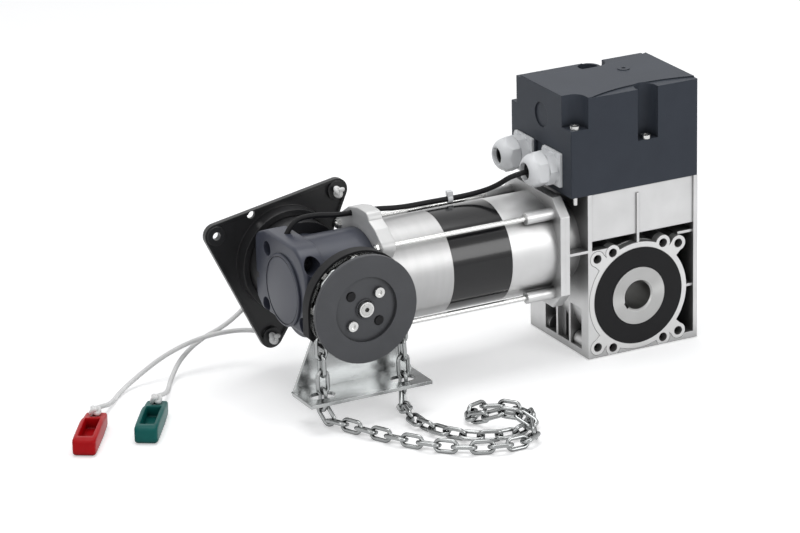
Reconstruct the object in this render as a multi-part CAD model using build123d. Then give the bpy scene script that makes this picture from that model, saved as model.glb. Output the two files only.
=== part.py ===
from build123d import *
import math
import os

os.makedirs("parts", exist_ok=True)

# Driving dimensions, all in millimetres and degrees.
# The origin is on the bore axis at the front face of the gearbox. X runs along the motor,
# which points to -X, the bore axis is Y with the front at -Y, and Z is up.

# Gearbox casting
gb_left = -50.0
gb_right = 60.0
gb_depth = 102.0
gb_bottom = -50.0
gb_top = 100.0
gb_wall = 4.0
gb_floor = 6.0
panel_low = 57.0
panel_recess = 1.6
rib = 2.4
web = 6.0
drum_r = 49.2
neck_r = 37.0

# Output: hollow shaft, worm wheel, bearings and end covers
bore_r = 12.7
key_width = 6.35
key_depth = 2.6
shaft_r = 27.5
shaft_end_r = 26.0
shaft_proud = 1.0
out_bearing_r = 45.0
out_bearing_w = 18.0
bearing_fit = 0.05
bearing_ring = 0.5
cover_t = 8.0
cover_r = 48.8
cover_bore_r = 43.9
cover_fit = 0.35
outer_lug_pcd = 115.0
inner_lug_pcd = 101.0
inner_lug_angle = 60.0
lug_r = 7.0
lug_hole_r = 4.0
lug_depth = 22.0
seal_gap = 0.35

# Worm gear pair
module = 2.0
wheel_teeth = 37
worm_pitch_r = 12.0
wheel_face = 16.0
tooth_backlash = 0.5
worm_length = 40.0

# Motor
motor_y = 50.0
motor_z = 49.0
motor_r = 44.5
can_wall = 3.0
flange_half = 50.0
flange_chamfer = 14.5
flange_t = 4.5
flange_gap = 18.0
bell_length = 48.5
stack_length = 57.0
can_length = 54.0
rod_offset = 36.0
rod_r = 2.25
boss_r = 5.3
boss_length = 27.0
stator_bore_r = 29.0
air_gap = 0.5
rotor_shaft_r = 10.0
motor_bearing_r = 21.0
motor_bearing_w = 12.0
winding_length = 13.0
shield_t = 13.0
shield_r = 44.8
shield_lug_r = 7.0
ear_from = 36.0
ear_to = 86.0
ear_r = 61.0

# Emergency chain drive housing
drive_x = -278.0
block_half = 45.0
block_corner = 15.0
block_left = -322.0
block_length = 24.0
barrel_r = 42.5
barrel_wall = 5.0
pocket_r = 6.5
pocket_depth = 15.0
cap_r = 34.5
cap_t = 3.0
nose_r = 30.0
nose_length = 2.0

# Chain wheel
wheel_front = -26.5
disc_r = 47.2
disc_t = 4.0
recess_r = 28.4
recess_depth = 1.8
pockets = 8
wire_d = 3.5
link_width = 12.6
link_inside = 15.5
link_pitch = 15.0
chain_gap = 0.25
floor_gap = 0.9
wheel_width = 14.5
wheel_bore_r = 8.0
wheel_screw_pcd = 36.0
wheel_screw_r = 2.5
wheel_screw_head_r = 4.4
guard_r = 51.5
guard_wall = 2.0
guard_depth = 21.0
guard_cut_z = 27.0

# Chain bracket of folded sheet
bracket_length = 114.0
bracket_t = 3.0
bracket_flange = 38.0
bracket_top_z = -23.5
bracket_upper_width = 62.0
slot_length = 22.0
slot_width = 15.0

# Release lever
lever_y = 127.0
lever_t = 5.0
lever_arm = 72.0
lever_tip_r = 10.5
lever_ring_r = 40.5
lever_collar_r = 46.0
lever_collar_depth = 12.0
lever_angles = (45.8, 154.7, 257.3)
lever_hole_r = 3.6
lever_rim = 2.6
lever_recess = 2.0
lever_gap = 0.4
cord_hole_r = 2.3
boss_proud = 9.0

# Hood over the electrics
hood_left = -66.0
hood_top = 188.0
hood_wall = 3.0
hood_back_low = 104.0
hood_back_high = 95.0
hood_step_z = 161.0
notch_r = 10.0
hood_screw_r = 2.2
hood_screw_head_r = 4.2

# Cable glands
gland_y = (31.0, 80.0)
gland_z = 121.0
plate_side = 31.0
plate_t = 6.0
plate_proud = 2.0
gland_af = 27.0
gland_thread_r = 10.0
gland_body_length = 9.0
gland_nut_length = 17.0
gland_mouth_r = 7.6
seal_hole_r = 5.0
lead_d = 4.6

# Pull cords and handles
cord_d = 4.2
knot_r = 6.2
handle_length = 70.0
handle_width = 20.0
handle_t = 15.0
handle_turn = 57.0
floor_z = gb_bottom

# Values worked out from the ones above
gb_back = gb_depth
wheel_pitch_r = module * wheel_teeth / 2
flange_x = gb_left - flange_gap
bell_x = flange_x - flange_t
stack_x = bell_x - flange_t - bell_length + flange_t
stack_end = stack_x - stack_length
can_end = stack_end - can_length
shield_end = can_end - shield_t
block_right = block_left + block_length
drive_front = motor_y - block_half
drive_back = motor_y + block_half
chain_y = wheel_front + disc_t + wheel_width / 2
wheel_back = chain_y + wheel_width / 2
rear_disc_t = 3.0
side_angle = 180.0 / pockets
joint_r = link_pitch / 2 / math.sin(math.radians(side_angle / 2))
link_r = joint_r * math.cos(math.radians(side_angle / 2))
end_r = (link_width - wire_d) / 2
pocket_floor = link_r - wire_d / 2 - floor_gap
groove_r = link_r - link_width / 2 - chain_gap
guard_front = drive_front - bracket_t - guard_depth
guard_back = drive_front - bracket_t


def cyl(axis, r, a, b, u=0.0, v=0.0):
    """A round bar along one axis from a to b, with its axis at the other two coordinates."""
    turn = {"x": Rot(0, 90, 0), "y": Rot(90, 0, 0), "z": Rot(0, 0, 0)}[axis]
    mid = (a + b) / 2
    place = {"x": Pos(mid, u, v), "y": Pos(u, mid, v), "z": Pos(u, v, mid)}[axis]
    return place * turn * Cylinder(r, abs(b - a))


def tube(axis, r_out, r_in, a, b, u=0.0, v=0.0):
    return cyl(axis, r_out, a, b, u, v) - cyl(axis, r_in, a, b, u, v)


def block(x0, x1, y0, y1, z0, z1):
    return Pos((x0 + x1) / 2, (y0 + y1) / 2, (z0 + z1) / 2) * Box(x1 - x0, y1 - y0, z1 - z0)


def prism_y(sketch, y0, y1):
    """A sketch drawn in X and Z, pushed along Y."""
    plane = Plane(origin=(0, y0, 0), x_dir=(1, 0, 0), z_dir=(0, -1, 0))
    return extrude(plane * sketch, amount=y1 - y0, dir=(0, 1, 0))


def prism_x(sketch, x0, x1):
    """A sketch drawn in Y and Z, pushed along X."""
    plane = Plane(origin=(x0, 0, 0), x_dir=(0, 1, 0), z_dir=(1, 0, 0))
    return extrude(plane * sketch, amount=x1 - x0, dir=(1, 0, 0))


def prism_z(sketch, z0, z1):
    return extrude(Plane(origin=(0, 0, z0)) * sketch, amount=z1 - z0, dir=(0, 0, 1))


def polar(r, degrees):
    return (r * math.cos(math.radians(degrees)), r * math.sin(math.radians(degrees)))


def save(name, *solids):
    """Write one node. A node of several equal pieces holds them as separate solids."""
    pieces = []
    for shape in solids:
        pieces += shape.solids()
    export_step(pieces[0] if len(pieces) == 1 else Compound(children=pieces), f"parts/{name}.step")


# Gearbox

def lug_points():
    """The eight tapped lugs of an end cover, in X and Z."""
    outer = [polar(outer_lug_pcd / 2, 45 + 90 * i) for i in range(4)]
    inner = [polar(inner_lug_pcd / 2, a) for a in
             (inner_lug_angle, 180 - inner_lug_angle, 180 + inner_lug_angle, -inner_lug_angle)]
    return outer + inner


def cover_outline(grow=0.0):
    """Round cover with its lugs, each on a short neck with filleted corners."""
    shape = Circle(cover_r + grow)
    neck = 2 * (lug_r - 0.8 + grow)
    for x, z in lug_points():
        shape += Pos(x, z) * Circle(lug_r + grow)
        reach = math.hypot(x, z)
        shape += Rot(0, 0, math.degrees(math.atan2(z, x))) * Pos(reach / 2, 0) * Rectangle(reach, neck)
    return shape


def lug_holes(y0, y1):
    return [cyl("y", lug_hole_r, y0, y1, x, z) for x, z in lug_points()]


def gearbox_walls():
    """Side walls, floor, upper panel block and the ribs that tie the drum to them."""
    body = block(gb_left, gb_left + gb_wall, 0, gb_back, gb_bottom, gb_top)
    body += block(gb_right - gb_wall, gb_right, 0, gb_back, gb_bottom, gb_top)
    body += block(gb_left, gb_right, 0, gb_back, gb_bottom, gb_bottom + gb_floor)
    body += block(gb_left, gb_right, panel_recess, gb_back - panel_recess, panel_low, gb_top)
    body += block(gb_left, gb_right, gb_back / 2 - web / 2, gb_back / 2 + web / 2, gb_bottom, gb_top)
    body += block(-rib / 2, rib / 2, 0, gb_back, cover_r - 4, gb_top - 6)
    for z in (motor_z, -1.0):
        body += block(drum_r - 8, gb_right, rib, gb_back - rib, z - rib / 2, z + rib / 2)
    return body


def left_corner():
    """The lower left corner is filled, with three pockets open to the left and a foot block."""
    corner = block(gb_left, -24, 0, gb_back, gb_bottom, -20)
    pocket_top = -7.0
    starts = (12.0, 34.0, 56.0)
    pocket_width = 19.0
    for y in starts:
        corner -= block(gb_left - 1, -30, y, y + pocket_width, gb_bottom + gb_floor, pocket_top)
    return corner


def gearbox_housing():
    body = gearbox_walls() + left_corner()
    side_pockets = [block(gb_left - 1, gb_left + gb_wall + 1, y, y + 19, gb_bottom + gb_floor, -7)
                    for y in (12.0, 34.0, 56.0)]
    for pocket in side_pockets:
        body -= pocket
    body += cyl("y", drum_r, cover_t, gb_back - cover_t)
    body += cyl("x", worm_pitch_r + 14, gb_left, gb_right, motor_y, motor_z)
    body += cyl("x", neck_r, flange_x, gb_left, motor_y, motor_z)
    for y in (0.0, gb_back - 10):
        body += block(flange_x, gb_left, y, y + 10, motor_z - rib / 2, motor_z + rib / 2)
    body += prism_x(octagon(flange_half, flange_chamfer), flange_x - flange_t, flange_x)
    pads = block(gb_left, -20, 0, cover_t, gb_bottom, motor_z)
    pads += block(gb_left, 40, 0, cover_t, gb_bottom, gb_bottom + 14)
    body += pads
    body += Pos(0, gb_back - cover_t, 0) * pads
    for y0, y1 in ((cover_t, cover_t + lug_depth), (gb_back - cover_t - lug_depth, gb_back - cover_t)):
        for x, z in lug_points():
            body += cyl("y", lug_r, y0, y1, x, z)
    seat = cover_outline(cover_fit)
    body -= prism_y(seat, -1, cover_t)
    body -= prism_y(seat, gb_back - cover_t, gb_back + 1)
    body -= cyl("y", out_bearing_r, -1, gb_back + 1)
    for hole in lug_holes(-1, cover_t + lug_depth - 4) + lug_holes(gb_back - cover_t - lug_depth + 4, gb_back + 1):
        body -= hole
    body -= cyl("x", motor_bearing_r - 3, flange_x - flange_t, 0, motor_y, motor_z)
    body -= cyl("x", motor_bearing_r, 0, worm_end() + motor_bearing_w, motor_y, motor_z)
    for x, y in hood_screw_places():
        body -= cyl("z", hood_screw_r, gb_top - 10, gb_top, x, y)
    inside = block(gb_left, gb_right, 0, gb_back, gb_bottom, gb_top)
    neck = block(flange_x - flange_t, gb_left, 0, gb_back, gb_bottom, gb_top)
    return (body & (inside + neck)).solids().sort_by(SortBy.VOLUME)[-1]


def octagon(half, chamfer):
    outline = Pos(motor_y, motor_z) * Rectangle(2 * half, 2 * half)
    return chamfer_corners(outline, chamfer)


def chamfer_corners(outline, size):
    return chamfer(outline.vertices(), size)


def end_cover(front):
    """Ring cover with eight tapped lugs that holds the bearing in its seat."""
    y0, y1 = (0, cover_t) if front else (gb_back - cover_t, gb_back)
    cover = prism_y(cover_outline(), y0, y1) - cyl("y", cover_bore_r, y0, y1)
    for hole in lug_holes(y0, y1):
        cover -= hole
    limit = block(gb_left, gb_right, y0, y1, gb_bottom, gb_top)
    return cover & limit


def shaft_seal(front):
    """Black ring between the cover and the shaft end."""
    if front:
        y0, y1 = -shaft_proud / 2, cover_t
    else:
        y0, y1 = gb_back - cover_t, gb_back + shaft_proud / 2
    return tube("y", cover_bore_r, shaft_end_r + seal_gap, y0, y1)


def hollow_shaft():
    y0, y1 = -shaft_proud, gb_back + shaft_proud
    shaft = cyl("y", shaft_end_r, y0, y1)
    shaft += cyl("y", shaft_r, cover_t, gb_back - cover_t)
    edge = 1.5
    shaft -= cyl("y", bore_r, y0, y1)
    for y, out in ((y0, 1), (y1, -1)):
        cone = Cone(bore_r + edge, bore_r, edge)
        turn = Rot(-90, 0, 0) if out > 0 else Rot(90, 0, 0)
        shaft -= Pos(0, y + out * edge / 2, 0) * turn * cone
    key = block(-bore_r - key_depth, 0, y0, y1, -key_width / 2, key_width / 2)
    return shaft - Rot(0, -30, 0) * key


def bearing_pair(axis, r_in, r_out, places, width, u, v):
    """Inner and outer rings of equal bearings. They meet at a running fit."""
    mid = (r_in + r_out) / 2
    outer = [tube(axis, r_out, mid, a, a + width, u, v) for a in places]
    inner = [tube(axis, mid - bearing_fit, r_in, a, a + width, u, v) for a in places]
    return outer, inner


def worm_wheel():
    """Wheel with straight cut teeth along its helix, hub against both inner rings."""
    mid = gb_back / 2 - 1.0
    root = wheel_pitch_r - 1.25 * module
    tip = wheel_pitch_r + module
    wheel = cyl("y", shaft_r + 4, cover_t + out_bearing_w, gb_back - cover_t - out_bearing_w)
    wheel += cyl("y", root, mid - wheel_face / 2, mid + wheel_face / 2)
    half_pitch = math.pi * module / 2
    thin = (half_pitch - tooth_backlash) / 2
    slope = math.tan(math.radians(20))
    tooth = Polygon(
        (root - 1, thin + (wheel_pitch_r - root + 1) * slope),
        (tip, thin - module * slope),
        (tip, -thin + module * slope),
        (root - 1, -thin - (wheel_pitch_r - root + 1) * slope),
        align=None,
    )
    lead = math.degrees(math.atan(module / (2 * worm_pitch_r)))
    twist = math.degrees(math.tan(math.radians(lead)) * wheel_face / wheel_pitch_r)
    low = Plane(origin=(0, mid - wheel_face / 2, 0), x_dir=(1, 0, 0), z_dir=(0, -1, 0))
    high = Plane(origin=(0, mid + wheel_face / 2, 0), x_dir=(1, 0, 0), z_dir=(0, -1, 0))
    gear_tooth = loft([low * Rot(0, 0, twist / 2) * tooth, high * Rot(0, 0, -twist / 2) * tooth])
    step = 360 / wheel_teeth
    for i in range(wheel_teeth):
        wheel += Rot(0, -90 + step * i, 0) * gear_tooth
    return wheel - cyl("y", shaft_r, 0, gb_back)


def worm_end():
    return worm_length / 2 + 8


# Motor

def hood_screw_places():
    """Front left corner, front middle and back middle."""
    return [(hood_left + 7, 6.0), (10.0, 4.0), (10.0, hood_back_high - 4.0)]


def rod_places():
    return [(motor_y + sy * rod_offset, motor_z + sz * rod_offset) for sy in (-1, 1) for sz in (-1, 1)]


def front_end_bell():
    """Octagonal flange, round bell and the four bosses that take the tie rods."""
    bell = prism_x(octagon(flange_half, flange_chamfer), bell_x - flange_t, bell_x)
    bell += cyl("x", motor_r, stack_x, bell_x, motor_y, motor_z)
    for y, z in rod_places():
        bell += cyl("x", boss_r, bell_x - flange_t - boss_length, bell_x, y, z)
    bell -= cyl("x", motor_r - can_wall, stack_x, bell_x - flange_t - motor_bearing_w, motor_y, motor_z)
    bell -= cyl("x", motor_bearing_r, stack_x, bell_x - flange_t, motor_y, motor_z)
    bell -= cyl("x", motor_bearing_r - 3, stack_x, bell_x, motor_y, motor_z)
    for y, z in rod_places():
        bell -= cyl("x", rod_r, bell_x - flange_t - boss_length, bell_x - flange_t, y, z)
    return bell


def stator_stack():
    return tube("x", motor_r, stator_bore_r, stack_end, stack_x, motor_y, motor_z)


def stator_windings():
    r_out = motor_r - can_wall - 2
    front = tube("x", r_out, stator_bore_r + 1, stack_x, stack_x + winding_length, motor_y, motor_z)
    back = tube("x", r_out, stator_bore_r + 1, stack_end - winding_length, stack_end, motor_y, motor_z)
    round_off = 3.0
    front = fillet(front.edges().filter_by(GeomType.CIRCLE).group_by(Axis.X)[-1], round_off)
    back = fillet(back.edges().filter_by(GeomType.CIRCLE).group_by(Axis.X)[0], round_off)
    return front, back


def rear_can():
    return tube("x", motor_r, motor_r - can_wall, can_end, stack_end, motor_y, motor_z)


def shield_outline():
    shape = Pos(motor_y, motor_z) * Circle(shield_r)
    for y, z in rod_places():
        shape += Pos(y, z) * Circle(shield_lug_r)
    sector = Pos(motor_y, motor_z) * Circle(ear_r)
    window = Pos((ear_from + ear_to) / 2, motor_z + ear_r - 12) * Rectangle(ear_to - ear_from, 36)
    ear = fillet((sector & window).vertices().group_by(Axis.Y)[-2:][0], 5)
    return shape + ear


def rear_end_shield():
    """Cast shield with four lugs and the ear that the signal lead passes through."""
    shield = prism_x(shield_outline(), shield_end, can_end)
    shield -= cyl("x", motor_bearing_r, can_end - motor_bearing_w, can_end, motor_y, motor_z)
    shield -= cyl("x", rotor_shaft_r + 3, shield_end, can_end, motor_y, motor_z)
    for y, z in rod_places():
        shield -= cyl("x", rod_r, shield_end, can_end, y, z)
    return shield - cyl("x", lead_d / 2 + seal_gap, shield_end, can_end, lead_y, lead_ear_z)


def tie_rods():
    """Four rods outside the can, each with a nut against the end shield."""
    front = bell_x - flange_t - boss_length + 12
    nut_t = 3.2
    rods = []
    for y, z in rod_places():
        rod = cyl("x", rod_r, shield_end - nut_t - 1, front, y, z)
        nut = prism_x(Pos(y, z) * RegularPolygon(4.2, 6), shield_end - nut_t, shield_end)
        rods.append(rod + nut)
    return rods


def rotor_shaft():
    """Motor shaft in one piece with the worm thread, down to the chain drive."""
    left = gear_x0()
    shaft = cyl("x", rotor_shaft_r, left, worm_end() + motor_bearing_w, motor_y, motor_z)
    root = worm_pitch_r - 1.25 * module
    shaft = shaft + cyl("x", root, -worm_length / 2, worm_length / 2, motor_y, motor_z)
    return shaft + worm_thread()


def worm_thread():
    """Trapezium thread swept along a helix of the worm's lead."""
    lead = math.pi * module
    root = worm_pitch_r - 1.25 * module
    tip = worm_pitch_r + 0.9 * module
    slope = math.tan(math.radians(20))
    half = (lead / 2 - tooth_backlash) / 2
    turns = int(worm_length / lead) - 1
    helix = Helix(lead, lead * turns, worm_pitch_r, lefthand=False)
    start = Plane(origin=(worm_pitch_r, 0, 0), x_dir=(1, 0, 0), z_dir=(0, 1, 0))
    profile = Polygon(
        (root - worm_pitch_r - 0.4, half + (worm_pitch_r - root + 0.4) * slope),
        (tip - worm_pitch_r, half - (tip - worm_pitch_r) * slope),
        (tip - worm_pitch_r, -half + (tip - worm_pitch_r) * slope),
        (root - worm_pitch_r - 0.4, -half - (worm_pitch_r - root + 0.4) * slope),
        align=None,
    )
    thread = sweep(start * profile, path=helix, is_frenet=True)
    return Pos(-lead * turns / 2, motor_y, motor_z) * Rot(0, 90, 0) * thread


def rotor_core():
    return tube("x", stator_bore_r - air_gap, rotor_shaft_r, stack_end, stack_x, motor_y, motor_z)


# Emergency chain drive

def gear_x0():
    """Left end of the motor shaft, inside the drive housing."""
    return drive_x + bevel_near


bevel_near = 13.0
bevel_face = 9.0
bevel_teeth = 16
bevel_shift = 3.0
bevel_gap = 3.0


def bevel_gear():
    """Straight bevel of 45 degrees with its apex at the origin and its axis along Z."""
    tip_near, tip_far = bevel_near + 1.2, bevel_near + bevel_face + 1.2
    gear = Pos(0, 0, bevel_near + bevel_face / 2) * Cone(tip_near, tip_far, bevel_face)
    gap = Polygon((-1.0, 0), (1.0, 0), (1.5, 3.4), (-1.5, 3.4), align=None)
    for i in range(bevel_teeth):
        cut = Plane(origin=(bevel_near - 4, 0, bevel_near - 3), x_dir=(0, 1, 0),
                    z_dir=(1, 0, 1)) * (Pos(0, 0) * gap)
        slot = extrude(cut, amount=bevel_face * 2, dir=(1, 0, 1))
        gear -= Rot(0, 0, 360 / bevel_teeth * i) * slot
    return gear


def motor_bevel():
    gear = Rot(0, 90, 0) * bevel_gear() + cyl("x", 12.5, bevel_near + bevel_face, shield_end - drive_x - 2)
    gear = Pos(drive_x, motor_y, motor_z) * gear
    return gear - cyl("x", rotor_shaft_r, gear_x0(), can_end, motor_y, motor_z)


def wheel_bevel():
    """Sliding bevel on the chain wheel's shaft, held clear of its mate by the lever's cam."""
    gear = Rot(90, 0, 0) * Rot(0, 0, 180 / bevel_teeth) * bevel_gear()
    hub = cyl("y", 13.0, -(bevel_near + bevel_face + 5), -(bevel_near + bevel_face))
    gear = Pos(drive_x, motor_y - bevel_shift - bevel_gap, motor_z) * (gear + hub)
    return gear - cyl("y", wheel_bore_r + bearing_fit, 0, motor_y, drive_x, motor_z)


def rounded_block(half, corner):
    return Pos(motor_y, motor_z) * RectangleRounded(2 * half, 2 * half, corner)


def drive_housing():
    """Rounded square head, round barrel towards the motor, and the nose for the chain wheel."""
    body = prism_x(rounded_block(block_half, block_corner), block_left, block_right)
    body = chamfer_left_edge(body)
    body += cyl("x", barrel_r, block_right, shield_end, motor_y, motor_z)
    body += cyl("y", nose_r, drive_front, motor_y, drive_x, motor_z)
    body += cyl("y", nose_r, motor_y, drive_back, drive_x, motor_z)
    for y, z in rod_places():
        body -= cyl("x", pocket_r, block_left - 1, block_left + pocket_depth, y, z)
        away = Vector(0, y - motor_y, z - motor_z).normalized() * pocket_r
        body -= cyl("x", pocket_r, block_left - 1, block_left + pocket_depth, y + away.Y, z + away.Z)
        body -= cyl("x", 2.1, block_left, block_right, y, z)
    cavity = barrel_r - barrel_wall
    body -= cyl("x", cavity, block_left + cap_t, shield_end, motor_y, motor_z)
    body -= cyl("x", cap_r - 4, block_left - 1, block_left + cap_t, motor_y, motor_z)
    keep = tube("y", nose_r - 10, bush_r, drive_front, motor_y - bevel_near - bevel_face - 14, drive_x, motor_z)
    body += keep
    body -= cyl("y", bush_r, drive_front - 1, motor_y, drive_x, motor_z)
    body += cyl("y", nose_r - 10, motor_y + cavity - 6, drive_back, drive_x, motor_z)
    entry = Plane(origin=lead_points[-1], z_dir=Vector(*lead_points[-2]) - Vector(*lead_points[-1]))
    return body - entry * Pos(0, 0, 10) * Cylinder(lead_d / 2 + seal_gap, 20)


bush_r = 11.0


def chamfer_left_edge(body):
    edges = body.faces().sort_by(Axis.X)[0].edges()
    return fillet(edges, 3.0)


def end_cap():
    """Round cap raised on the left face, with its spigot in the opening."""
    cap = cyl("x", cap_r, block_left - cap_t, block_left, motor_y, motor_z)
    cap = fillet(cap.edges().group_by(Axis.X)[0], 1.2)
    cap += cyl("x", cap_r - 4 - seal_gap, block_left, block_left + cap_t, motor_y, motor_z)
    limit = prism_x(rounded_block(block_half - 2, block_corner), block_left - cap_t, block_left + cap_t)
    for y, z in rod_places():
        cap -= cyl("x", pocket_r, block_left - cap_t, block_left + cap_t, y, z)
    return cap & limit


def housing_screws():
    head_t = 4.0
    screws = []
    for y, z in rod_places():
        seat = block_left + pocket_depth
        head = cyl("x", 3.6, seat - head_t, seat, y, z)
        head -= prism_x(Pos(y, z) * RegularPolygon(1.9, 6), seat - head_t, seat - head_t + 2)
        screws.append(head + cyl("x", 2.1, seat, block_right, y, z))
    return screws


def lever_boss():
    """Round black carrier on the back of the housing that the lever turns on."""
    end = lever_y + lever_t / 2 + boss_proud
    boss = cyl("y", lever_ring_r - lever_gap, drive_back, end, drive_x, motor_z)
    hollow = lever_ring_r - lever_gap - 5
    boss -= cyl("y", hollow, drive_back + 8, end - 4, drive_x, motor_z)
    boss -= cyl("y", hollow - 6, end - 5, end + 1, drive_x, motor_z)
    return boss


def lever_front():
    return lever_y - lever_t / 2 - lever_collar_depth


def lever_points():
    return [(drive_x + polar(lever_arm, a)[0], motor_z + polar(lever_arm, a)[1]) for a in lever_angles]


def lever_outline(grow=0.0):
    """Three cornered plate round the carrier: straight between the outer corners, hollow on the right."""
    top, left, low = lever_points()
    tips = [Pos(*p) * Circle(lever_tip_r + grow) for p in (top, left, low)]
    ring = Pos(drive_x, motor_z) * Circle(lever_collar_r + grow)
    upper = make_hull((tips[0] + tips[1]).edges())
    lower = make_hull((tips[1] + tips[2]).edges())
    to_top = make_hull((tips[0] + Pos(drive_x + 6, motor_z + 8) * Circle(lever_collar_r - 12)).edges())
    to_low = make_hull((tips[2] + Pos(drive_x - 2, motor_z - 6) * Circle(lever_collar_r - 12)).edges())
    centre = make_hull((tips[1] + ring).edges())
    return upper + lower + to_top + to_low + centre + ring


def lever_plate():
    """Moulded lever: plate with a raised rim, collar round the opening and bosses at the corners."""
    back = lever_y + lever_t / 2
    front = lever_y - lever_t / 2
    plate = prism_y(lever_outline(), front, back)
    plate -= prism_y(lever_outline(-lever_rim), front, front + lever_recess)
    plate += cyl("y", lever_collar_r, lever_front(), back, drive_x, motor_z)
    for x, z in lever_points():
        plate += cyl("y", lever_tip_r - 2, front - 1, back, x, z)
    plate -= cyl("y", lever_ring_r, lever_front() - 1, back + 1, drive_x, motor_z)
    top, left, low = lever_points()
    for (x, z), r in ((top, cord_hole_r), (left, lever_hole_r), (low, cord_hole_r)):
        plate -= cyl("y", r, front - 2, back + 1, x, z)
    small = (drive_x - 31.0, motor_z + 43.5)
    plate -= cyl("y", lever_hole_r, front, back, *small)
    return plate


def lever_ring():
    """Spring ring in the carrier that keeps the lever on."""
    y0 = lever_y + lever_t / 2 + lever_gap
    r = lever_ring_r - lever_gap
    return tube("y", r + 3, r, y0, y0 + 2, drive_x, motor_z)


# Chain wheel

def pocket_wheel():
    """Eight flats carry the lying links, a groove takes the standing ones, and lugs push them."""
    flats = RegularPolygon(pocket_floor, pockets, major_radius=False)
    wheel = prism_y(Pos(drive_x, motor_z) * flats, chain_y - wheel_width / 2, wheel_back)
    gap = wire_d + 2 * chain_gap + 0.4
    lug_top = link_r + wire_d / 2 + 1.5
    lug_w = 2 * link_pitch - link_inside - 2 * wire_d - 2 * chain_gap - 1.2
    for i in range(pockets):
        angle = 2 * side_angle * i
        lug = block(groove_r, lug_top, chain_y - wheel_width / 2, wheel_back, -lug_w / 2, lug_w / 2)
        wheel += Pos(drive_x, 0, motor_z) * Rot(0, -angle, 0) * lug
    ring = tube("y", lug_top + 5, groove_r, chain_y - gap / 2, chain_y + gap / 2, drive_x, motor_z)
    wheel -= ring
    wheel += cyl("y", disc_r - 2.5, wheel_back, wheel_back + rear_disc_t, drive_x, motor_z)
    wheel -= cyl("y", wheel_bore_r, chain_y - wheel_width / 2, wheel_back + rear_disc_t, drive_x, motor_z)
    for x, z in wheel_screw_places():
        wheel -= cyl("y", wheel_screw_r, chain_y - wheel_width / 2, wheel_back, x, z)
    return wheel


def wheel_screw_places():
    return [(drive_x + polar(wheel_screw_pcd / 2, a)[0], motor_z + polar(wheel_screw_pcd / 2, a)[1])
            for a in (45, 225)]


def wheel_disc():
    """Dark front disc with a round recess, two screw seats and two blind holes."""
    back = wheel_front + disc_t
    disc = cyl("y", disc_r, wheel_front, back, drive_x, motor_z)
    disc = fillet(disc.edges().group_by(Axis.Y)[0], 1.0)
    disc -= cyl("y", recess_r, wheel_front, wheel_front + recess_depth, drive_x, motor_z)
    disc += cyl("y", 9.6, wheel_front + 0.8, back, drive_x, motor_z)
    disc -= cyl("y", wheel_bore_r, wheel_front, back, drive_x, motor_z)
    for x, z in wheel_screw_places():
        disc -= cyl("y", wheel_screw_r, wheel_front, back, x, z)
    for a in (135, 315):
        x, z = polar(wheel_screw_pcd / 2, a)
        disc -= cyl("y", wheel_screw_head_r, wheel_front, wheel_front + recess_depth + 1.2, drive_x + x, motor_z + z)
    return disc


def wheel_screws():
    screws = []
    seat = wheel_front + recess_depth
    for x, z in wheel_screw_places():
        head = cyl("y", wheel_screw_head_r, seat - 2.2, seat, x, z)
        head -= prism_y(Pos(x, z) * RegularPolygon(2.2, 6), seat - 2.2, seat - 0.8)
        screws.append(head + cyl("y", wheel_screw_r, seat, seat + 12, x, z))
    return screws


def wheel_shaft():
    """Stub shaft from the front nut back to the sliding bevel."""
    shaft = cyl("y", wheel_bore_r, wheel_front + recess_depth, motor_y - bevel_near - 9, drive_x, motor_z)
    shaft += cyl("y", 5.0, wheel_front - 1.0, wheel_front + recess_depth, drive_x, motor_z)
    return shaft - cyl("y", 2.0, wheel_front - 1.0, wheel_front + 8, drive_x, motor_z)


def wheel_nut():
    y0 = wheel_front - 0.6
    return tube("y", 6.6, 5.0, y0, wheel_front + recess_depth, drive_x, motor_z)


def wheel_bush():
    return tube("y", bush_r, wheel_bore_r + bearing_fit, drive_front, drive_front + 9, drive_x, motor_z)


def chain_guard():
    """Cup round the upper part of the chain, open below where the strands leave."""
    guard = cyl("y", guard_r, guard_front, guard_back, drive_x, motor_z)
    guard -= cyl("y", guard_r - guard_wall, guard_front - 1, guard_back - guard_wall, drive_x, motor_z)
    guard -= block(drive_x - 60, drive_x + 60, guard_front - 1, guard_back + 1, motor_z - 60, guard_cut_z)
    guard -= cyl("y", 14, guard_front, guard_back, drive_x, motor_z)
    for x, z in bracket_screw_places():
        guard -= cyl("y", 2.1, guard_front, guard_back, x, z)
    return guard


def bracket_screw_places():
    return [(drive_x + polar(23.0, a)[0], motor_z + polar(23.0, a)[1]) for a in (30, 150)]


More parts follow.
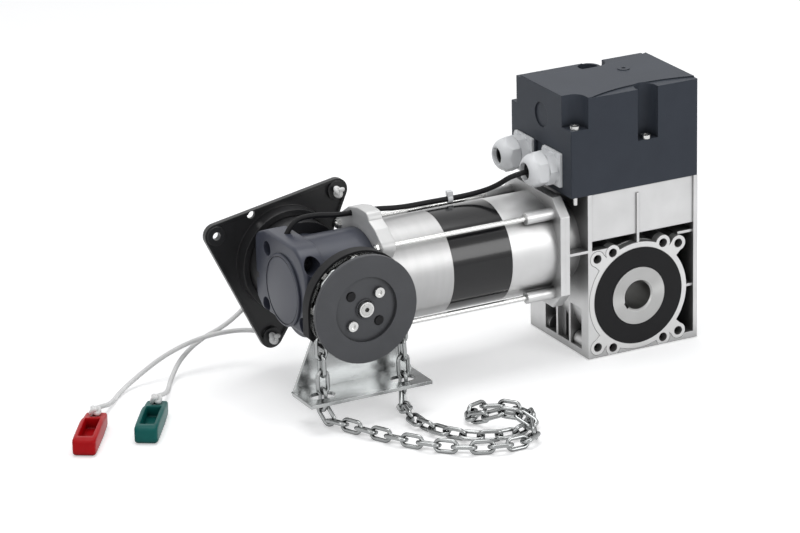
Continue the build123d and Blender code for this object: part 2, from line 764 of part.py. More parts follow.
def chain_bracket():
    """Folded steel guide: a flange with two slots below and a plate that tapers up to the housing."""
    half = bracket_length / 2
    y0, y1 = drive_front - bracket_t, drive_front
    low = bracket_top_z - bracket_t
    top = motor_z + 20
    plate = make_face(Polyline(
        (drive_x - half, low), (drive_x + half, low), (drive_x + bracket_upper_width / 2 + 12, 12),
        (drive_x + bracket_upper_width / 2, motor_z), (drive_x + 22, top), (drive_x - 22, top),
        (drive_x - bracket_upper_width / 2, motor_z), (drive_x - bracket_upper_width / 2 - 6, 20), close=True))
    bracket = prism_y(plate, y0, y1)
    bracket -= block(drive_x - half - 1, drive_x + half + 1, y0 - 1, y0 + bracket_t, low - 1, low)
    flange = block(drive_x - half, drive_x + half, y1 - bracket_flange, y1, low, bracket_top_z)
    bracket += flange
    bend = bracket.edges().filter_by(Axis.X).filter_by(
        lambda e: abs(e.center().Y - y1) < 0.01 and abs(e.center().Z - low) < 0.01)
    bracket = fillet(bend, bracket_t + 1.0)
    for side in (-1, 1):
        slot = Pos(drive_x + side * link_r, chain_y) * SlotOverall(slot_length, slot_width)
        bracket -= prism_z(slot, low - 1, bracket_top_z + 1)
    bracket -= cyl("y", 14, y0, y1, drive_x, motor_z)
    for x, z in bracket_screw_places():
        bracket -= cyl("y", 2.1, y0, y1, x, z)
    return bracket


def bracket_screws():
    screws = []
    for x, z in bracket_screw_places():
        seat = guard_back - guard_wall
        head = cyl("y", 3.8, seat - 2.0, seat, x, z)
        screws.append(head + cyl("y", 2.1, seat, drive_front + 0.0, x, z))
    return screws


# Hand chain

def chain_link():
    """One link, long way along X and lying flat."""
    straight = link_inside + wire_d - 2 * end_r
    bar = Rot(0, 90, 0) * Cylinder(wire_d / 2, straight)
    link = Pos(0, end_r, 0) * bar + Pos(0, -end_r, 0) * bar
    bend = Torus(end_r, wire_d / 2)
    size = 4 * end_r
    half = bend & Pos(size / 2, 0, 0) * Box(size, 2 * size, size)
    link += Pos(straight / 2, 0, 0) * half
    return link + Pos(-straight / 2, 0, 0) * Rot(0, 0, 180) * half


# Joints of the chain along its lay. The wheel part is worked out, the rest is laid by hand.
lay_z = floor_z + 5.6
lay_points = [
    (-241.0, -14.0, lay_z + 3), (-247.0, -34.0, lay_z), (-251.0, -54.0, lay_z), (-248.0, -76.0, lay_z),
    (-237.0, -100.0, lay_z), (-219.0, -118.0, lay_z), (-196.0, -124.0, lay_z), (-176.0, -117.0, lay_z),
    (-163.0, -99.0, lay_z), (-166.0, -77.0, lay_z), (-181.0, -62.0, lay_z), (-200.0, -63.0, lay_z),
    (-208.0, -80.0, lay_z), (-197.0, -96.0, lay_z + 8), (-184.0, -108.0, lay_z + 10),
    (-176.0, -128.0, lay_z + 3), (-190.0, -143.0, lay_z), (-214.0, -144.0, lay_z), (-240.0, -134.0, lay_z),
    (-264.0, -112.0, lay_z), (-284.0, -82.0, lay_z), (-298.0, -54.0, lay_z), (-309.0, -30.0, lay_z),
    (-315.7, -15.5, lay_z + 3),
]


def chain_joints():
    """Points where one link hooks into the next, all the way round."""
    on_wheel = [(drive_x - polar(joint_r, side_angle * (i + 0.5))[0], chain_y,
                 motor_z + polar(joint_r, side_angle * (i + 0.5))[1]) for i in range(-1, pockets + 1)]
    low_z = bracket_top_z - bracket_t - 6
    right = Vector(drive_x + link_r, chain_y, low_z)
    left = Vector(drive_x - link_r, chain_y, low_z)
    lay = [Vector(*p) for p in lay_points]
    route = Spline([Vector(on_wheel[-1]), Vector(drive_x + link_r, chain_y, 10), right] + lay
                   + [left, Vector(drive_x - link_r, chain_y, 10), Vector(on_wheel[0])])
    count = 2 * round(route.length / link_pitch / 2) - (1 if (len(on_wheel) - 1) % 2 else 0)
    between = [route @ (i / count) for i in range(1, count)]
    print("chain: links", count + len(on_wheel) - 1, "pitch off the wheel", round(route.length / count, 3))
    return [Vector(*p) for p in on_wheel] + between


def hand_chain():
    joints = chain_joints()
    link = chain_link()
    links = []
    for i, start in enumerate(joints):
        end = joints[(i + 1) % len(joints)]
        along = (end - start).normalized()
        middle = (start + end) * 0.5
        on_floor = middle.Z < floor_z + 18
        side = Vector(0, 1, 0) if not on_floor else Vector(0, 0, 1).cross(along).normalized()
        normal = along.cross(side).normalized()
        roll = (18 if i % 2 else 108) if on_floor else (0 if i % 2 else 90)
        frame = Plane(origin=middle, x_dir=along, z_dir=normal)
        links.append(frame * Rot(roll, 0, 0) * link)
    return links


# Hood and electrics

def hood_outline_solid(inset=0.0):
    low = block(hood_left + inset, gb_right - inset, inset, hood_back_low - inset, gb_top, hood_step_z - inset)
    high = block(hood_left + inset, gb_right - inset, inset, hood_back_high - inset, gb_top, hood_top - inset)
    return low + high


def notches():
    """Half round wells above the hood screws: corner, front middle, back middle."""
    wells = [(0, 160.0), (1, 141.0), (2, 141.0)]
    return [(hood_screw_places()[i], z) for i, z in wells]


def hood():
    shell = hood_outline_solid()
    shell = fillet(shell.edges().filter_by(Axis.Z), 1.0)
    shell -= hood_outline_solid(hood_wall)
    for (x, y), z in notches():
        column = cyl("z", notch_r + hood_wall, z - hood_wall, hood_top, x, y)
        column += cyl("z", 5.5, gb_top + tray_t, z, x, y)
        shell += column & hood_outline_solid()
    for (x, y), z in notches():
        outward = -1 if y < gb_back / 2 else 1
        shell -= cyl("z", notch_r, z, hood_top + 1, x, y)
        shell -= block(x - notch_r, x + notch_r, *sorted((y, y + outward * 20)), z, hood_top + 1)
        if x < hood_left + notch_r:
            shell -= block(x - 20, x, *sorted((y + notch_r, y - 20)), z, hood_top + 1)
        shell -= cyl("z", hood_screw_r + 0.2, gb_top, z, x, y)
    shell -= cyl("z", 9.0, hood_top - 15, hood_top + 1, 0, hood_back_high - 10.5) - block(-20, 20, 0, 1, 0, 1)
    cup = tube("z", 11.5, 9.0, hood_top - 15, hood_top - hood_wall, 0, hood_back_high - 10.5)
    cup += cyl("z", 11.5, hood_top - 17, hood_top - 15, 0, hood_back_high - 10.5)
    shell += cup & hood_outline_solid()
    shell -= cyl("z", 150, hood_top - 2.5, hood_top + 1, -3, hood_back_high + 128)
    shell -= cyl("z", 150, hood_top - 1.0, hood_top + 1, 15, -137)
    boss = cyl("z", 5.6, hood_top - 6, hood_top + 0.6, 19, 56) - cyl("z", 1.8, hood_top - 4, hood_top + 1, 19, 56)
    shell += boss
    shell -= cyl("z", 1.8, hood_top - 4, hood_top + 1, 19, 56)
    shell -= cyl("x", 11.0, hood_left - 1, hood_left + 1.2, 51, 162)
    for y in gland_y:
        shell -= block(hood_left - 1, hood_left + hood_wall + 1, y - plate_side / 2, y + plate_side / 2,
                       gland_z - plate_side / 2, gland_z + plate_side / 2)
    y0, y1 = gland_y[0] + plate_side / 2, gland_y[1] - plate_side / 2
    shell -= block(hood_left - 1, hood_left + 2, y0 + 2.5, y1 - 2.5, gland_z, gland_z + plate_side / 2)
    return shell


tray_t = 3.0


def hood_tray():
    """Floor of the electrics box, on top of the casting and under the overhang."""
    inset = hood_wall + 0.4
    tray = block(hood_left + inset, gb_right - inset, inset, hood_back_low - inset, gb_top, gb_top + tray_t)
    for (x, y), z in notches():
        tray -= cyl("z", 6.2 if x > hood_left + 15 else 6.2, gb_top - 1, gb_top + tray_t + 1, x, y)
    return tray


def hood_screws():
    screws = []
    for (x, y), z in notches():
        head = cyl("z", hood_screw_head_r, z, z + 3.2, x, y)
        head -= prism_z(Pos(x, y) * RegularPolygon(2.0, 6), z + 1.6, z + 3.2)
        screws.append(head + cyl("z", hood_screw_r, gb_top - 8, z, x, y))
    return screws


def gland_plates():
    plates = []
    for y in gland_y:
        x0 = hood_left - plate_proud
        side = plate_side - 0.3
        plate = prism_x(Pos(y, gland_z) * RectangleRounded(side, side, 1.5), x0, x0 + plate_t)
        plate += block(x0 + plate_t - 1.2, x0 + plate_t, y - side / 2, y + side / 2,
                       gland_z - side / 2, gland_z + side / 2)
        plate += cyl("x", 2.8, x0 - 1.2, x0, y + side / 2 - 3.4, gland_z + side / 2 - 3.4)
        plates.append(plate - cyl("x", gland_thread_r + seal_gap, x0, x0 + plate_t, y, gland_z))
    return plates


def hexagon(across, y, z):
    return Pos(y, z) * RegularPolygon(across / 2, 6, major_radius=False)


def gland_bodies():
    bodies = []
    for y in gland_y:
        face = hood_left - plate_proud
        body = prism_x(hexagon(gland_af, y, gland_z), face - gland_body_length, face - 1.5)
        body += cyl("x", gland_af / 2, face - 1.5, face, y, gland_z)
        body += cyl("x", gland_thread_r, face, face + plate_t + 5, y, gland_z)
        body += cyl("x", gland_thread_r + 1.2, face - gland_body_length - 7, face - gland_body_length, y, gland_z)
        bodies.append(body - cyl("x", gland_mouth_r, face - gland_body_length - 7, face + plate_t + 5, y, gland_z))
    return bodies


def gland_nuts():
    """Hexagon nuts with a domed mouth that close on the seal."""
    nuts = []
    for y in gland_y:
        back = hood_left - plate_proud - gland_body_length - 0.5
        front = back - gland_nut_length
        nut = prism_x(hexagon(gland_af + 1, y, gland_z), back - 9.0, back)
        nut += Pos((front + back - 9.0) / 2, y, gland_z) * Rot(0, -90, 0) * Cone(
            (gland_af + 1) / 2, gland_mouth_r + 3.0, gland_nut_length - 9.0)
        nut -= cyl("x", gland_thread_r + 1.5, back - 7, back, y, gland_z)
        nuts.append(nut - cyl("x", gland_mouth_r, front, back, y, gland_z))
    return nuts


def gland_seals():
    """Rubber inserts. The front one grips the lead and the rear one is free."""
    seals = []
    for y, hole in zip(gland_y, (lead_d / 2, seal_hole_r)):
        back = hood_left - plate_proud
        front = back - gland_body_length - 0.5 - gland_nut_length + 4
        seals.append(tube("x", gland_mouth_r, hole, front, back, y, gland_z))
    return seals


def gland_locknuts():
    nuts = []
    for y in gland_y:
        inner = hood_left - plate_proud + plate_t
        nut = prism_x(hexagon(gland_af, y, gland_z), inner, inner + 3.5)
        nuts.append(nut - cyl("x", gland_thread_r, inner, inner + 3.5, y, gland_z))
    return nuts


def terminal_board():
    return block(-40, 30, 26, 84, gb_top + tray_t + 6, gb_top + tray_t + 7.6)


def board_posts():
    z0, z1 = gb_top + tray_t, gb_top + tray_t + 6
    return [cyl("z", 3.0, z0, z1, x, y) for x in (-36, 26) for y in (30, 80)]


def terminal_block():
    z0 = gb_top + tray_t + 7.6
    strip = block(-36, -26, 28, 82, z0, z0 + 14)
    for i in range(8):
        strip -= cyl("z", 2.0, z0 + 6, z0 + 14, -31, 31.5 + 6.8 * i)
    return strip


def limit_switch():
    """Encoder and switch block driven from the worm wheel's side."""
    z0 = gb_top + tray_t + 7.6
    unit = block(-8, 26, 36, 76, z0, z0 + 30)
    unit = fillet(unit.edges().filter_by(Axis.Z), 2.0)
    return unit + cyl("z", 9, z0 + 30, z0 + 36, 9, 56)


# Leads, cords and handles

lead_y = 64.0
lead_ear_z = 101.0
lead_points = [
    (-72.0, gland_y[0], gland_z), (-104.0, gland_y[0], gland_z), (-116.0, 44.0, 107.0),
    (-134.0, 61.0, 97.6), (-166.0, 66.0, 96.4), (-198.0, 65.0, 96.8),
    (-224.0, lead_y, lead_ear_z), (-256.0, lead_y, lead_ear_z), (-282.0, lead_y, 106.0),
    (-301.0, lead_y, 104.0), (-308.0, lead_y, 89.0),
]

knot_seat = lever_y - lever_t / 2 - 1 - math.sqrt(knot_r ** 2 - cord_hole_r ** 2) - 0.02
low_hole = lever_points()[2]
top_hole = lever_points()[0]
handle_knot_z = floor_z + handle_t * 0.8 + knot_r + 0.1

red_points = [
    (low_hole[0], knot_seat, low_hole[1]), (low_hole[0], 137.0, low_hole[1]), (-308.0, 149.0, -20.0),
    (-332.0, 151.0, -19.0), (-358.0, 151.0, -21.5), (-386.0, 150.0, -29.5), (-411.0, 148.0, -42.0),
    (-434.0, 135.0, -47.9), (-452.0, 114.0, -47.8), (-468.0, 95.0, -40.0), (-483.6, 74.7, handle_knot_z),
]

green_points = [
    (top_hole[0], knot_seat, top_hole[1]), (top_hole[0], 138.0, top_hole[1]), (-238.0, 151.0, 84.0),
    (-254.0, 156.0, 58.0), (-272.0, 159.0, 30.0), (-294.0, 160.0, 2.0), (-320.0, 160.0, -17.0),
    (-348.0, 157.0, -24.0), (-370.0, 151.0, -36.0), (-386.0, 137.0, -47.5), (-398.0, 116.0, -47.8),
    (-411.0, 95.0, -41.0), (-428.6, 72.6, handle_knot_z),
]


def cord_tube(name, points, diameter):
    """Round tube on straight runs joined by arcs as large as their runs allow."""
    line = [Vector(*p) for p in points]
    radii = []
    for before, here, after in zip(line, line[1:], line[2:]):
        turn = (here - before).get_angle(after - here)
        shorter = min((here - before).length, (after - here).length)
        radii.append(0.45 * shorter / math.tan(math.radians(turn / 2)))
    path = FilletPolyline(*line, radius=radii)
    start = Plane(origin=path @ 0, z_dir=path % 0)
    solid = sweep(start * Circle(diameter / 2), path=path)
    share = solid.volume / (math.pi * diameter ** 2 / 4 * path.length)
    print(name, "length", round(path.length, 1), "smallest radius", round(min(radii), 1), "volume share", round(share, 4))
    return solid


def knot(centre, towards):
    """Rounded lump of a stopper knot, with a seat for the cord's end."""
    start = Plane(origin=centre, z_dir=Vector(*towards) - Vector(*centre))
    seat = start * Pos(0, 0, knot_r) * Cylinder(cord_d / 2 + bearing_fit, 2 * knot_r)
    return Pos(*centre) * Sphere(knot_r) - seat


def handle(x, y):
    """Pull handle lying on the floor: tapered block with a long recess and a cord hole."""
    ends = 0.80
    side = Polygon(
        (0, 1.5), (0, handle_t * 0.75), (handle_length * 0.25, handle_t), (handle_length * 0.65, handle_t),
        (handle_length * 0.82, handle_t * ends), (handle_length, handle_t * ends), (handle_length, 1.5),
        (handle_length - 1.5, 0), (1.5, 0), align=None)
    body = extrude(Plane(origin=(0, handle_width / 2, 0), x_dir=(1, 0, 0), z_dir=(0, -1, 0)) * side,
                   amount=handle_width, dir=(0, -1, 0))
    body = fillet(body.edges().filter_by(Axis.Z), 2.5)
    recess = Pos(handle_length * 0.46, 0, handle_t) * Box(handle_length * 0.52, handle_width - 8, 8)
    body -= recess
    body -= Pos(handle_length - 9, 0, 0) * Cylinder(cord_d / 2 + 0.4, 4 * handle_t)
    return Pos(x, y, floor_z) * Rot(0, 0, handle_turn) * body


def handle_place(knot_point):
    """Corner of the handle whose cord hole is under the knot."""
    dx, dy = polar(handle_length - 9, handle_turn)
    return knot_point[0] - dx, knot_point[1] - dy


def cable_tie():
    """Nylon tie closed round the lead, with its square head above."""
    here, there = Vector(*lead_points[3]), Vector(*lead_points[4])
    clear = lead_d / 2 + bearing_fit
    tie = Cylinder(clear + 1.3, 4.5) - Cylinder(clear, 4.5)
    tie += Pos(clear + 2.6, 0, 0) * Box(4.0, 5.5, 5.0)
    level = Vector(0, 0, 1)
    return Plane(origin=(here + there) * 0.5, x_dir=level, z_dir=there - here) * tie


def build():
    save("gearbox_housing", gearbox_housing())
    save("front_flange_cover", end_cover(True))
    save("rear_flange_cover", end_cover(False))
    save("front_shaft_seal", shaft_seal(True))
    save("rear_shaft_seal", shaft_seal(False))
    save("hollow_shaft", hollow_shaft())
    places = (cover_t, gb_back - cover_t - out_bearing_w)
    outer, inner = bearing_pair("y", shaft_r, out_bearing_r, places, out_bearing_w, 0, 0)
    save("output_bearing_outer", *outer)
    save("output_bearing_inner", *inner)
    save("worm_wheel", worm_wheel())
    save("rotor_shaft", rotor_shaft())
    save("rotor_core", rotor_core())
    places = (worm_end(), bell_x - flange_t - motor_bearing_w, can_end - motor_bearing_w)
    outer, inner = bearing_pair("x", rotor_shaft_r, motor_bearing_r, places, motor_bearing_w, motor_y, motor_z)
    save("rotor_bearing_outer", *outer)
    save("rotor_bearing_inner", *inner)
    save("front_end_bell", front_end_bell())
    save("stator_stack", stator_stack())
    save("stator_windings", *stator_windings())
    save("rear_can", rear_can())
    save("rear_end_shield", rear_end_shield())
    save("tie_rods", *tie_rods())
    save("motor_bevel_gear", motor_bevel())
    save("drive_housing", drive_housing())
    save("end_cap", end_cap())
    save("housing_screws", *housing_screws())
    save("lever_boss", lever_boss())
    save("lever_plate", lever_plate())
    save("lever_ring", lever_ring())
    save("chain_guard", chain_guard())
    save("chain_bracket", chain_bracket())
    save("bracket_screws", *bracket_screws())
    save("chain_wheel", pocket_wheel())
    save("wheel_disc", wheel_disc())
    save("wheel_screws", *wheel_screws())
    save("wheel_shaft", wheel_shaft())
    save("wheel_nut", wheel_nut())
    save("wheel_bush", wheel_bush())
    save("wheel_bevel_gear", wheel_bevel())
    save("hand_chain", *hand_chain())
    save("hood", hood())
    save("hood_tray", hood_tray())
    save("hood_screws", *hood_screws())
    save("gland_plates", *gland_plates())
    save("gland_bodies", *gland_bodies())
    save("gland_nuts", *gland_nuts())
    save("gland_seals", *gland_seals())
    save("gland_locknuts", *gland_locknuts())
    save("terminal_board", terminal_board())
    save("board_posts", *board_posts())
    save("terminal_block", terminal_block())
    save("limit_switch", limit_switch())
    save("signal_lead", cord_tube("signal lead", lead_points, lead_d))
    save("lead_tie", cable_tie())
    save("lever_knots", *[knot(route[0], route[1]) for route in (green_points, red_points)])
    save("red_cord", cord_tube("red cord", red_points, cord_d))
    save("green_cord", cord_tube("green cord", green_points, cord_d))
    save("red_handle", handle(*handle_place(red_points[-1])))
    save("green_handle", handle(*handle_place(green_points[-1])))
    save("handle_knots", *[knot(route[-1], route[-2]) for route in (red_points, green_points)])


build()
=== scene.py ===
# %% [markdown]
# Door operator, step by step.
# The machine is a worm gearbox with a hollow shaft, a motor in line with the worm, a hood over the
# electrics, a hand chain wheel for power cuts and a lever that lets the chain drive in.
# The solids come packed as a frame, so every piece here is placed in that frame. Most solids are
# shown as they are and only get a finish. Cords, mouldings and a few castings are made again as
# meshes, because their surface is finer than a solid can show.

# %% Load the frame
import bpy
import bmesh
import math
from mathutils import Matrix, Vector


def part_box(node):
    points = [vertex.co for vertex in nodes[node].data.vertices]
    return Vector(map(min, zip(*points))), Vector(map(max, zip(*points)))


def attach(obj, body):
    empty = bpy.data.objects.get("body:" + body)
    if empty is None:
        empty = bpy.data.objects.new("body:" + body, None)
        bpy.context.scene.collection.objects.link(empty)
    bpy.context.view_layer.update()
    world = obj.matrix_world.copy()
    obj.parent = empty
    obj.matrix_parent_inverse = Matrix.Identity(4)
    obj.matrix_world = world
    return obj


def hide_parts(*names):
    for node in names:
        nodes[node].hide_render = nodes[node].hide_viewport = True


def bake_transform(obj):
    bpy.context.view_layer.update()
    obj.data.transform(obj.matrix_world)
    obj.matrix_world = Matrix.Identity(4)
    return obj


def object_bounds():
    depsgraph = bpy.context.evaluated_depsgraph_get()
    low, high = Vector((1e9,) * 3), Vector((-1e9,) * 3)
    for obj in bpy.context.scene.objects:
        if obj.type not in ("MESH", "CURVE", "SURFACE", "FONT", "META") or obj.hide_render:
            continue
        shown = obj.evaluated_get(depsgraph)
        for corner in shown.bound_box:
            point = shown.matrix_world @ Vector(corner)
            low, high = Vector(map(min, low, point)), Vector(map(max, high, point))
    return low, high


MM = 0.001
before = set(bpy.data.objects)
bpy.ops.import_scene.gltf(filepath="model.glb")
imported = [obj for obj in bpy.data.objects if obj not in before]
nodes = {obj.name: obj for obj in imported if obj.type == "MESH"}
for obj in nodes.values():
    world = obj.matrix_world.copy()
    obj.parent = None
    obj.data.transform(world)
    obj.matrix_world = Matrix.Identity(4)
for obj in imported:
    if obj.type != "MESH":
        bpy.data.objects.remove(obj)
cad_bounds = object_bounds()
scene = bpy.context.scene

# %% [markdown]
# The camera comes first, because cords may only run as far as it sees.
# The view is from the front left and a little above, with a long lens, so the parallel edges
# of the motor and the gearbox stay nearly parallel. Its place was worked out from the bore,
# the motor axis and the floor line together.

# %% Camera
camera_place = Vector((-1.7181, -2.8672, 1.2448))
camera_right = Vector((0.8841, -0.4667, -0.0210)).normalized()
camera_back = Vector((-0.4324, -0.8344, 0.3418)).normalized()
camera_up = camera_back.cross(camera_right).normalized()
camera_right = camera_up.cross(camera_back).normalized()
camera_data = bpy.data.cameras.new("camera")
camera_data.lens = 184.5
camera_data.sensor_width = 36.0
camera_data.clip_end = 50.0
camera = bpy.data.objects.new("camera", camera_data)
scene.collection.objects.link(camera)
camera.matrix_world = Matrix((
    (camera_right.x, camera_up.x, camera_back.x, camera_place.x),
    (camera_right.y, camera_up.y, camera_back.y, camera_place.y),
    (camera_right.z, camera_up.z, camera_back.z, camera_place.z),
    (0.0, 0.0, 0.0, 1.0),
))
scene.camera = camera
print("camera looks", [round(v, 3) for v in -camera_back])

# %% [markdown]
# Two white cords come from the lever, one to the red handle and one to the green handle, and a
# black signal lead goes from the hood to the hand drive. Each route is a list of points in
# millimetres. Straight pieces between them would show corners that no cord has, so a smooth
# spline runs inside the corners, and the cord's surface is laid round that spline.

# %% Cord routes
red_route = [
    (-293.828, 118.708, -21.239), (-293.828, 137.0, -21.239), (-308.0, 149.0, -20.0),
    (-332.0, 151.0, -19.0), (-358.0, 151.0, -21.5), (-386.0, 150.0, -29.5), (-411.0, 148.0, -42.0),
    (-434.0, 135.0, -47.9), (-452.0, 114.0, -47.8), (-468.0, 95.0, -40.0), (-483.6, 74.7, -31.7),
]
green_route = [
    (-227.804, 118.708, 100.617), (-227.804, 138.0, 100.617), (-238.0, 151.0, 84.0),
    (-254.0, 156.0, 58.0), (-272.0, 159.0, 30.0), (-294.0, 160.0, 2.0), (-320.0, 160.0, -17.0),
    (-348.0, 157.0, -24.0), (-370.0, 151.0, -36.0), (-386.0, 137.0, -47.5), (-398.0, 116.0, -47.8),
    (-411.0, 95.0, -41.0), (-428.6, 72.6, -31.7),
]
lead_route = [
    (-72.0, 31.0, 121.0), (-104.0, 31.0, 121.0), (-116.0, 44.0, 107.0), (-134.0, 61.0, 97.6),
    (-166.0, 66.0, 96.4), (-198.0, 65.0, 96.8), (-224.0, 64.0, 101.0), (-256.0, 64.0, 101.0),
    (-282.0, 64.0, 106.0), (-301.0, 64.0, 104.0), (-308.0, 64.0, 89.0),
]
pull_routes = (("red", red_route), ("green", green_route))
cord_diameter = 4.2 * MM
lead_diameter = 4.6 * MM
lead_hole_r = 2.7
print("route points", len(red_route), len(green_route), len(lead_route))

# %% [markdown]
# The spline is Blender's own NURBS curve. It is turned into a mesh for a moment and only its points
# are kept. They are then set an even step apart, because the braid on a cord is no denser in the
# bends than in the straight parts.

# %% Smooth line
def smooth_line(route, steps=14):
    """Points of the NURBS spline that has the route as its control points."""
    curve = bpy.data.curves.new("route", "CURVE")
    curve.dimensions = "3D"
    curve.resolution_u = steps
    spline = curve.splines.new("NURBS")
    spline.points.add(len(route) - 1)
    for point, place in zip(spline.points, route):
        point.co = (place[0] * MM, place[1] * MM, place[2] * MM, 1.0)
    spline.order_u = 3
    spline.use_endpoint_u = True
    holder = bpy.data.objects.new("route", curve)
    mesh = bpy.data.meshes.new_from_object(holder)
    line = [v.co.copy() for v in mesh.vertices]
    bpy.data.objects.remove(holder)
    bpy.data.curves.remove(curve)
    bpy.data.meshes.remove(mesh)
    return line


def line_length(line):
    return sum((b - a).length for a, b in zip(line, line[1:]))


def even_line(line, step):
    """The same line with its points a fixed step apart."""
    total = line_length(line)
    count = max(2, int(total / step))
    gap = total / count
    out = [line[0].copy()]
    walked = 0.0
    for a, b in zip(line, line[1:]):
        piece = (b - a).length
        while walked + piece >= gap * len(out) and len(out) < count:
            out.append(a.lerp(b, (gap * len(out) - walked) / piece))
        walked += piece
    out.append(line[-1].copy())
    return out


print("red route", round(line_length(smooth_line(red_route)), 4), "m")


# %% [markdown]
# Almost every new mesh below is a skin over a row of rings: a tube, a loft, a nut or a casting.
# Curves with a bevel could make the tubes and nothing else, so one helper takes the rings, lays
# faces between them and closes both ends. A closed skin can later be joined to others or cut.

# %% Skin over rings
def skin(name, rings, caps=True, smooth=False):
    """Mesh over rings of points, with a face across each end unless caps is off."""
    build = bmesh.new()
    rows = [[build.verts.new(point) for point in ring] for ring in rings]
    count = len(rows[0])
    for low, high in zip(rows, rows[1:]):
        for k in range(count):
            after = (k + 1) % count
            build.faces.new((low[k], low[after], high[after], high[k]))
    if caps:
        build.faces.new(list(reversed(rows[0])))
        build.faces.new(rows[-1])
    for face in build.faces:
        face.smooth = smooth
    bmesh.ops.recalc_face_normals(build, faces=build.faces[:])
    mesh = bpy.data.meshes.new(name)
    build.to_mesh(mesh)
    build.free()
    piece = bpy.data.objects.new(name, mesh)
    scene.collection.objects.link(piece)
    return piece


def smooth_shade(mesh, sharp_degrees):
    """Smooth shading that keeps the edges over an angle sharp."""
    for face in mesh.polygons:
        face.use_smooth = True
    mesh.set_sharp_from_angle(angle=math.radians(sharp_degrees))


# %% [markdown]
# A braided cord is a tube whose surface is woven from strands that cross.
# Modelling each strand would be heavy, so the tube gets its relief from two sets of waves that
# run round it in opposite directions. The relief is real mesh, so it also shows at the outline.

# %% Braided tube helper
def carry_frames(line):
    """A direction across the line at each point, carried along without twist."""
    frames = []
    side = (line[1] - line[0]).normalized().orthogonal().normalized()
    for i, point in enumerate(line):
        ahead = line[min(i + 1, len(line) - 1)]
        behind = line[max(i - 1, 0)]
        tangent = (ahead - behind).normalized()
        side = (side - tangent * side.dot(tangent)).normalized()
        frames.append((point, tangent, side))
    return frames


def tube_mesh(name, line, radius, around=16, relief=None):
    """Tube of mesh along a line. relief(turn, travel) gives the height over the radius."""
    rings = []
    travel = 0.0
    last = line[0]
    for point, tangent, side in carry_frames(line):
        travel += (point - last).length
        last = point
        other = tangent.cross(side)
        ring = []
        for k in range(around):
            turn = 2 * math.pi * k / around
            height = relief(turn, travel) if relief else 0.0
            offset = (side * math.cos(turn) + other * math.sin(turn)) * (radius + height)
            ring.append(point + offset)
        rings.append(ring)
    return skin(name, rings, smooth=True)


def braid(turn, travel):
    """Height of the woven surface: two sets of strands wound in opposite directions."""
    strands, pitch, height, valley = 8, 7.5 * MM, 0.13 * MM, 0.55
    along = 2 * math.pi * travel / pitch * 4
    right = math.sin(strands * turn + along)
    left = math.sin(strands * turn - along)
    return height * (max(right, left) - valley)


print("tube rings along the red cord", len(carry_frames(smooth_line(red_route))))


# %% [markdown]
# A stopper knot keeps each end of a pull cord in its hole. A ball would be quicker, but a real
# knot shows loops of the same cord, so its line is an overhand knot (a trefoil that stays open)
# and the same braided tube runs along it. The two knots in the lever turn with the lever.

# %% Stopper knots
knot_cord_radius = 1.8 * MM
knot_step = 0.7 * MM
lever_seat = 1.6
knot_aim = 20.0  # millimetres ahead of the knot, only for its direction


def knot_line(centre, ahead, across=4.2, along=2.3, gap=0.15, count=17):
    """An overhand knot drawn round the cord's direction. All lengths are in millimetres."""
    centre = Vector(centre)
    axis = (Vector(ahead) - centre).normalized()
    side = axis.orthogonal().normalized()
    other = axis.cross(side)
    points = []
    for k in range(count):
        t = gap + (2 * math.pi - 2 * gap) * k / (count - 1)
        u = (math.sin(t) + 2 * math.sin(2 * t)) / 3 * across
        v = (math.cos(t) - 2 * math.cos(2 * t)) / 3 * across
        w = -math.sin(3 * t) * along
        points.append(tuple(centre + side * u + other * v + axis * w))
    return smooth_line(points, 10)


def stopper_knot(name, centre, ahead, node, body):
    line = even_line(knot_line(centre, ahead), knot_step)
    piece = tube_mesh(name, line, knot_cord_radius, 20, braid)
    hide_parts(node)
    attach(piece, body)
    return piece


braided = []
for colour, route in pull_routes:
    x, y, z = route[0]
    braided.append(stopper_knot(f"lever_knot_{colour}", (x, y + lever_seat, z),
                                (x, y + knot_aim, z), "lever_knots", "lever"))
print("knots in the lever", len(braided))


# %% [markdown]
# Many pieces are whole shapes that are joined and then cut, like the solids themselves. Editing
# faces by hand would give cleaner edges, but a join and a cut keep the reason for each form.

# %% Join and cut
def shape_from(body, add=(), cut=(), soften=0.0, sharp_degrees=30):
    """Join and cut whole shapes, soften the edges by so many millimetres, keep the result."""
    for operation, tools in (("UNION", add), ("DIFFERENCE", cut)):
        for tool in tools:
            step = body.modifiers.new(operation.lower(), "BOOLEAN")
            step.operation = operation
            step.solver = "EXACT"
            step.object = tool
    if soften:
        soft = body.modifiers.new("soft", "BEVEL")
        soft.width = soften * MM
        soft.segments = 3
        soft.limit_method = "ANGLE"
        soft.angle_limit = math.radians(35)  # the facets of round forms stay as they are
    result = body.evaluated_get(bpy.context.evaluated_depsgraph_get())
    shaped = bpy.data.meshes.new_from_object(result)
    body.modifiers.clear()
    body.data = shaped
    for tool in list(add) + list(cut):
        bpy.data.objects.remove(tool)
    smooth_shade(shaped, sharp_degrees)
    return body


# %% [markdown]
# The pull handles are moulded blocks with a long window in the top, thicker at the free end.
# A box with a bevel would keep the same height all along, so each is a loft of rounded sections;
# the window and the cord hole are cut out of it, and the edges are softened like a moulding's.

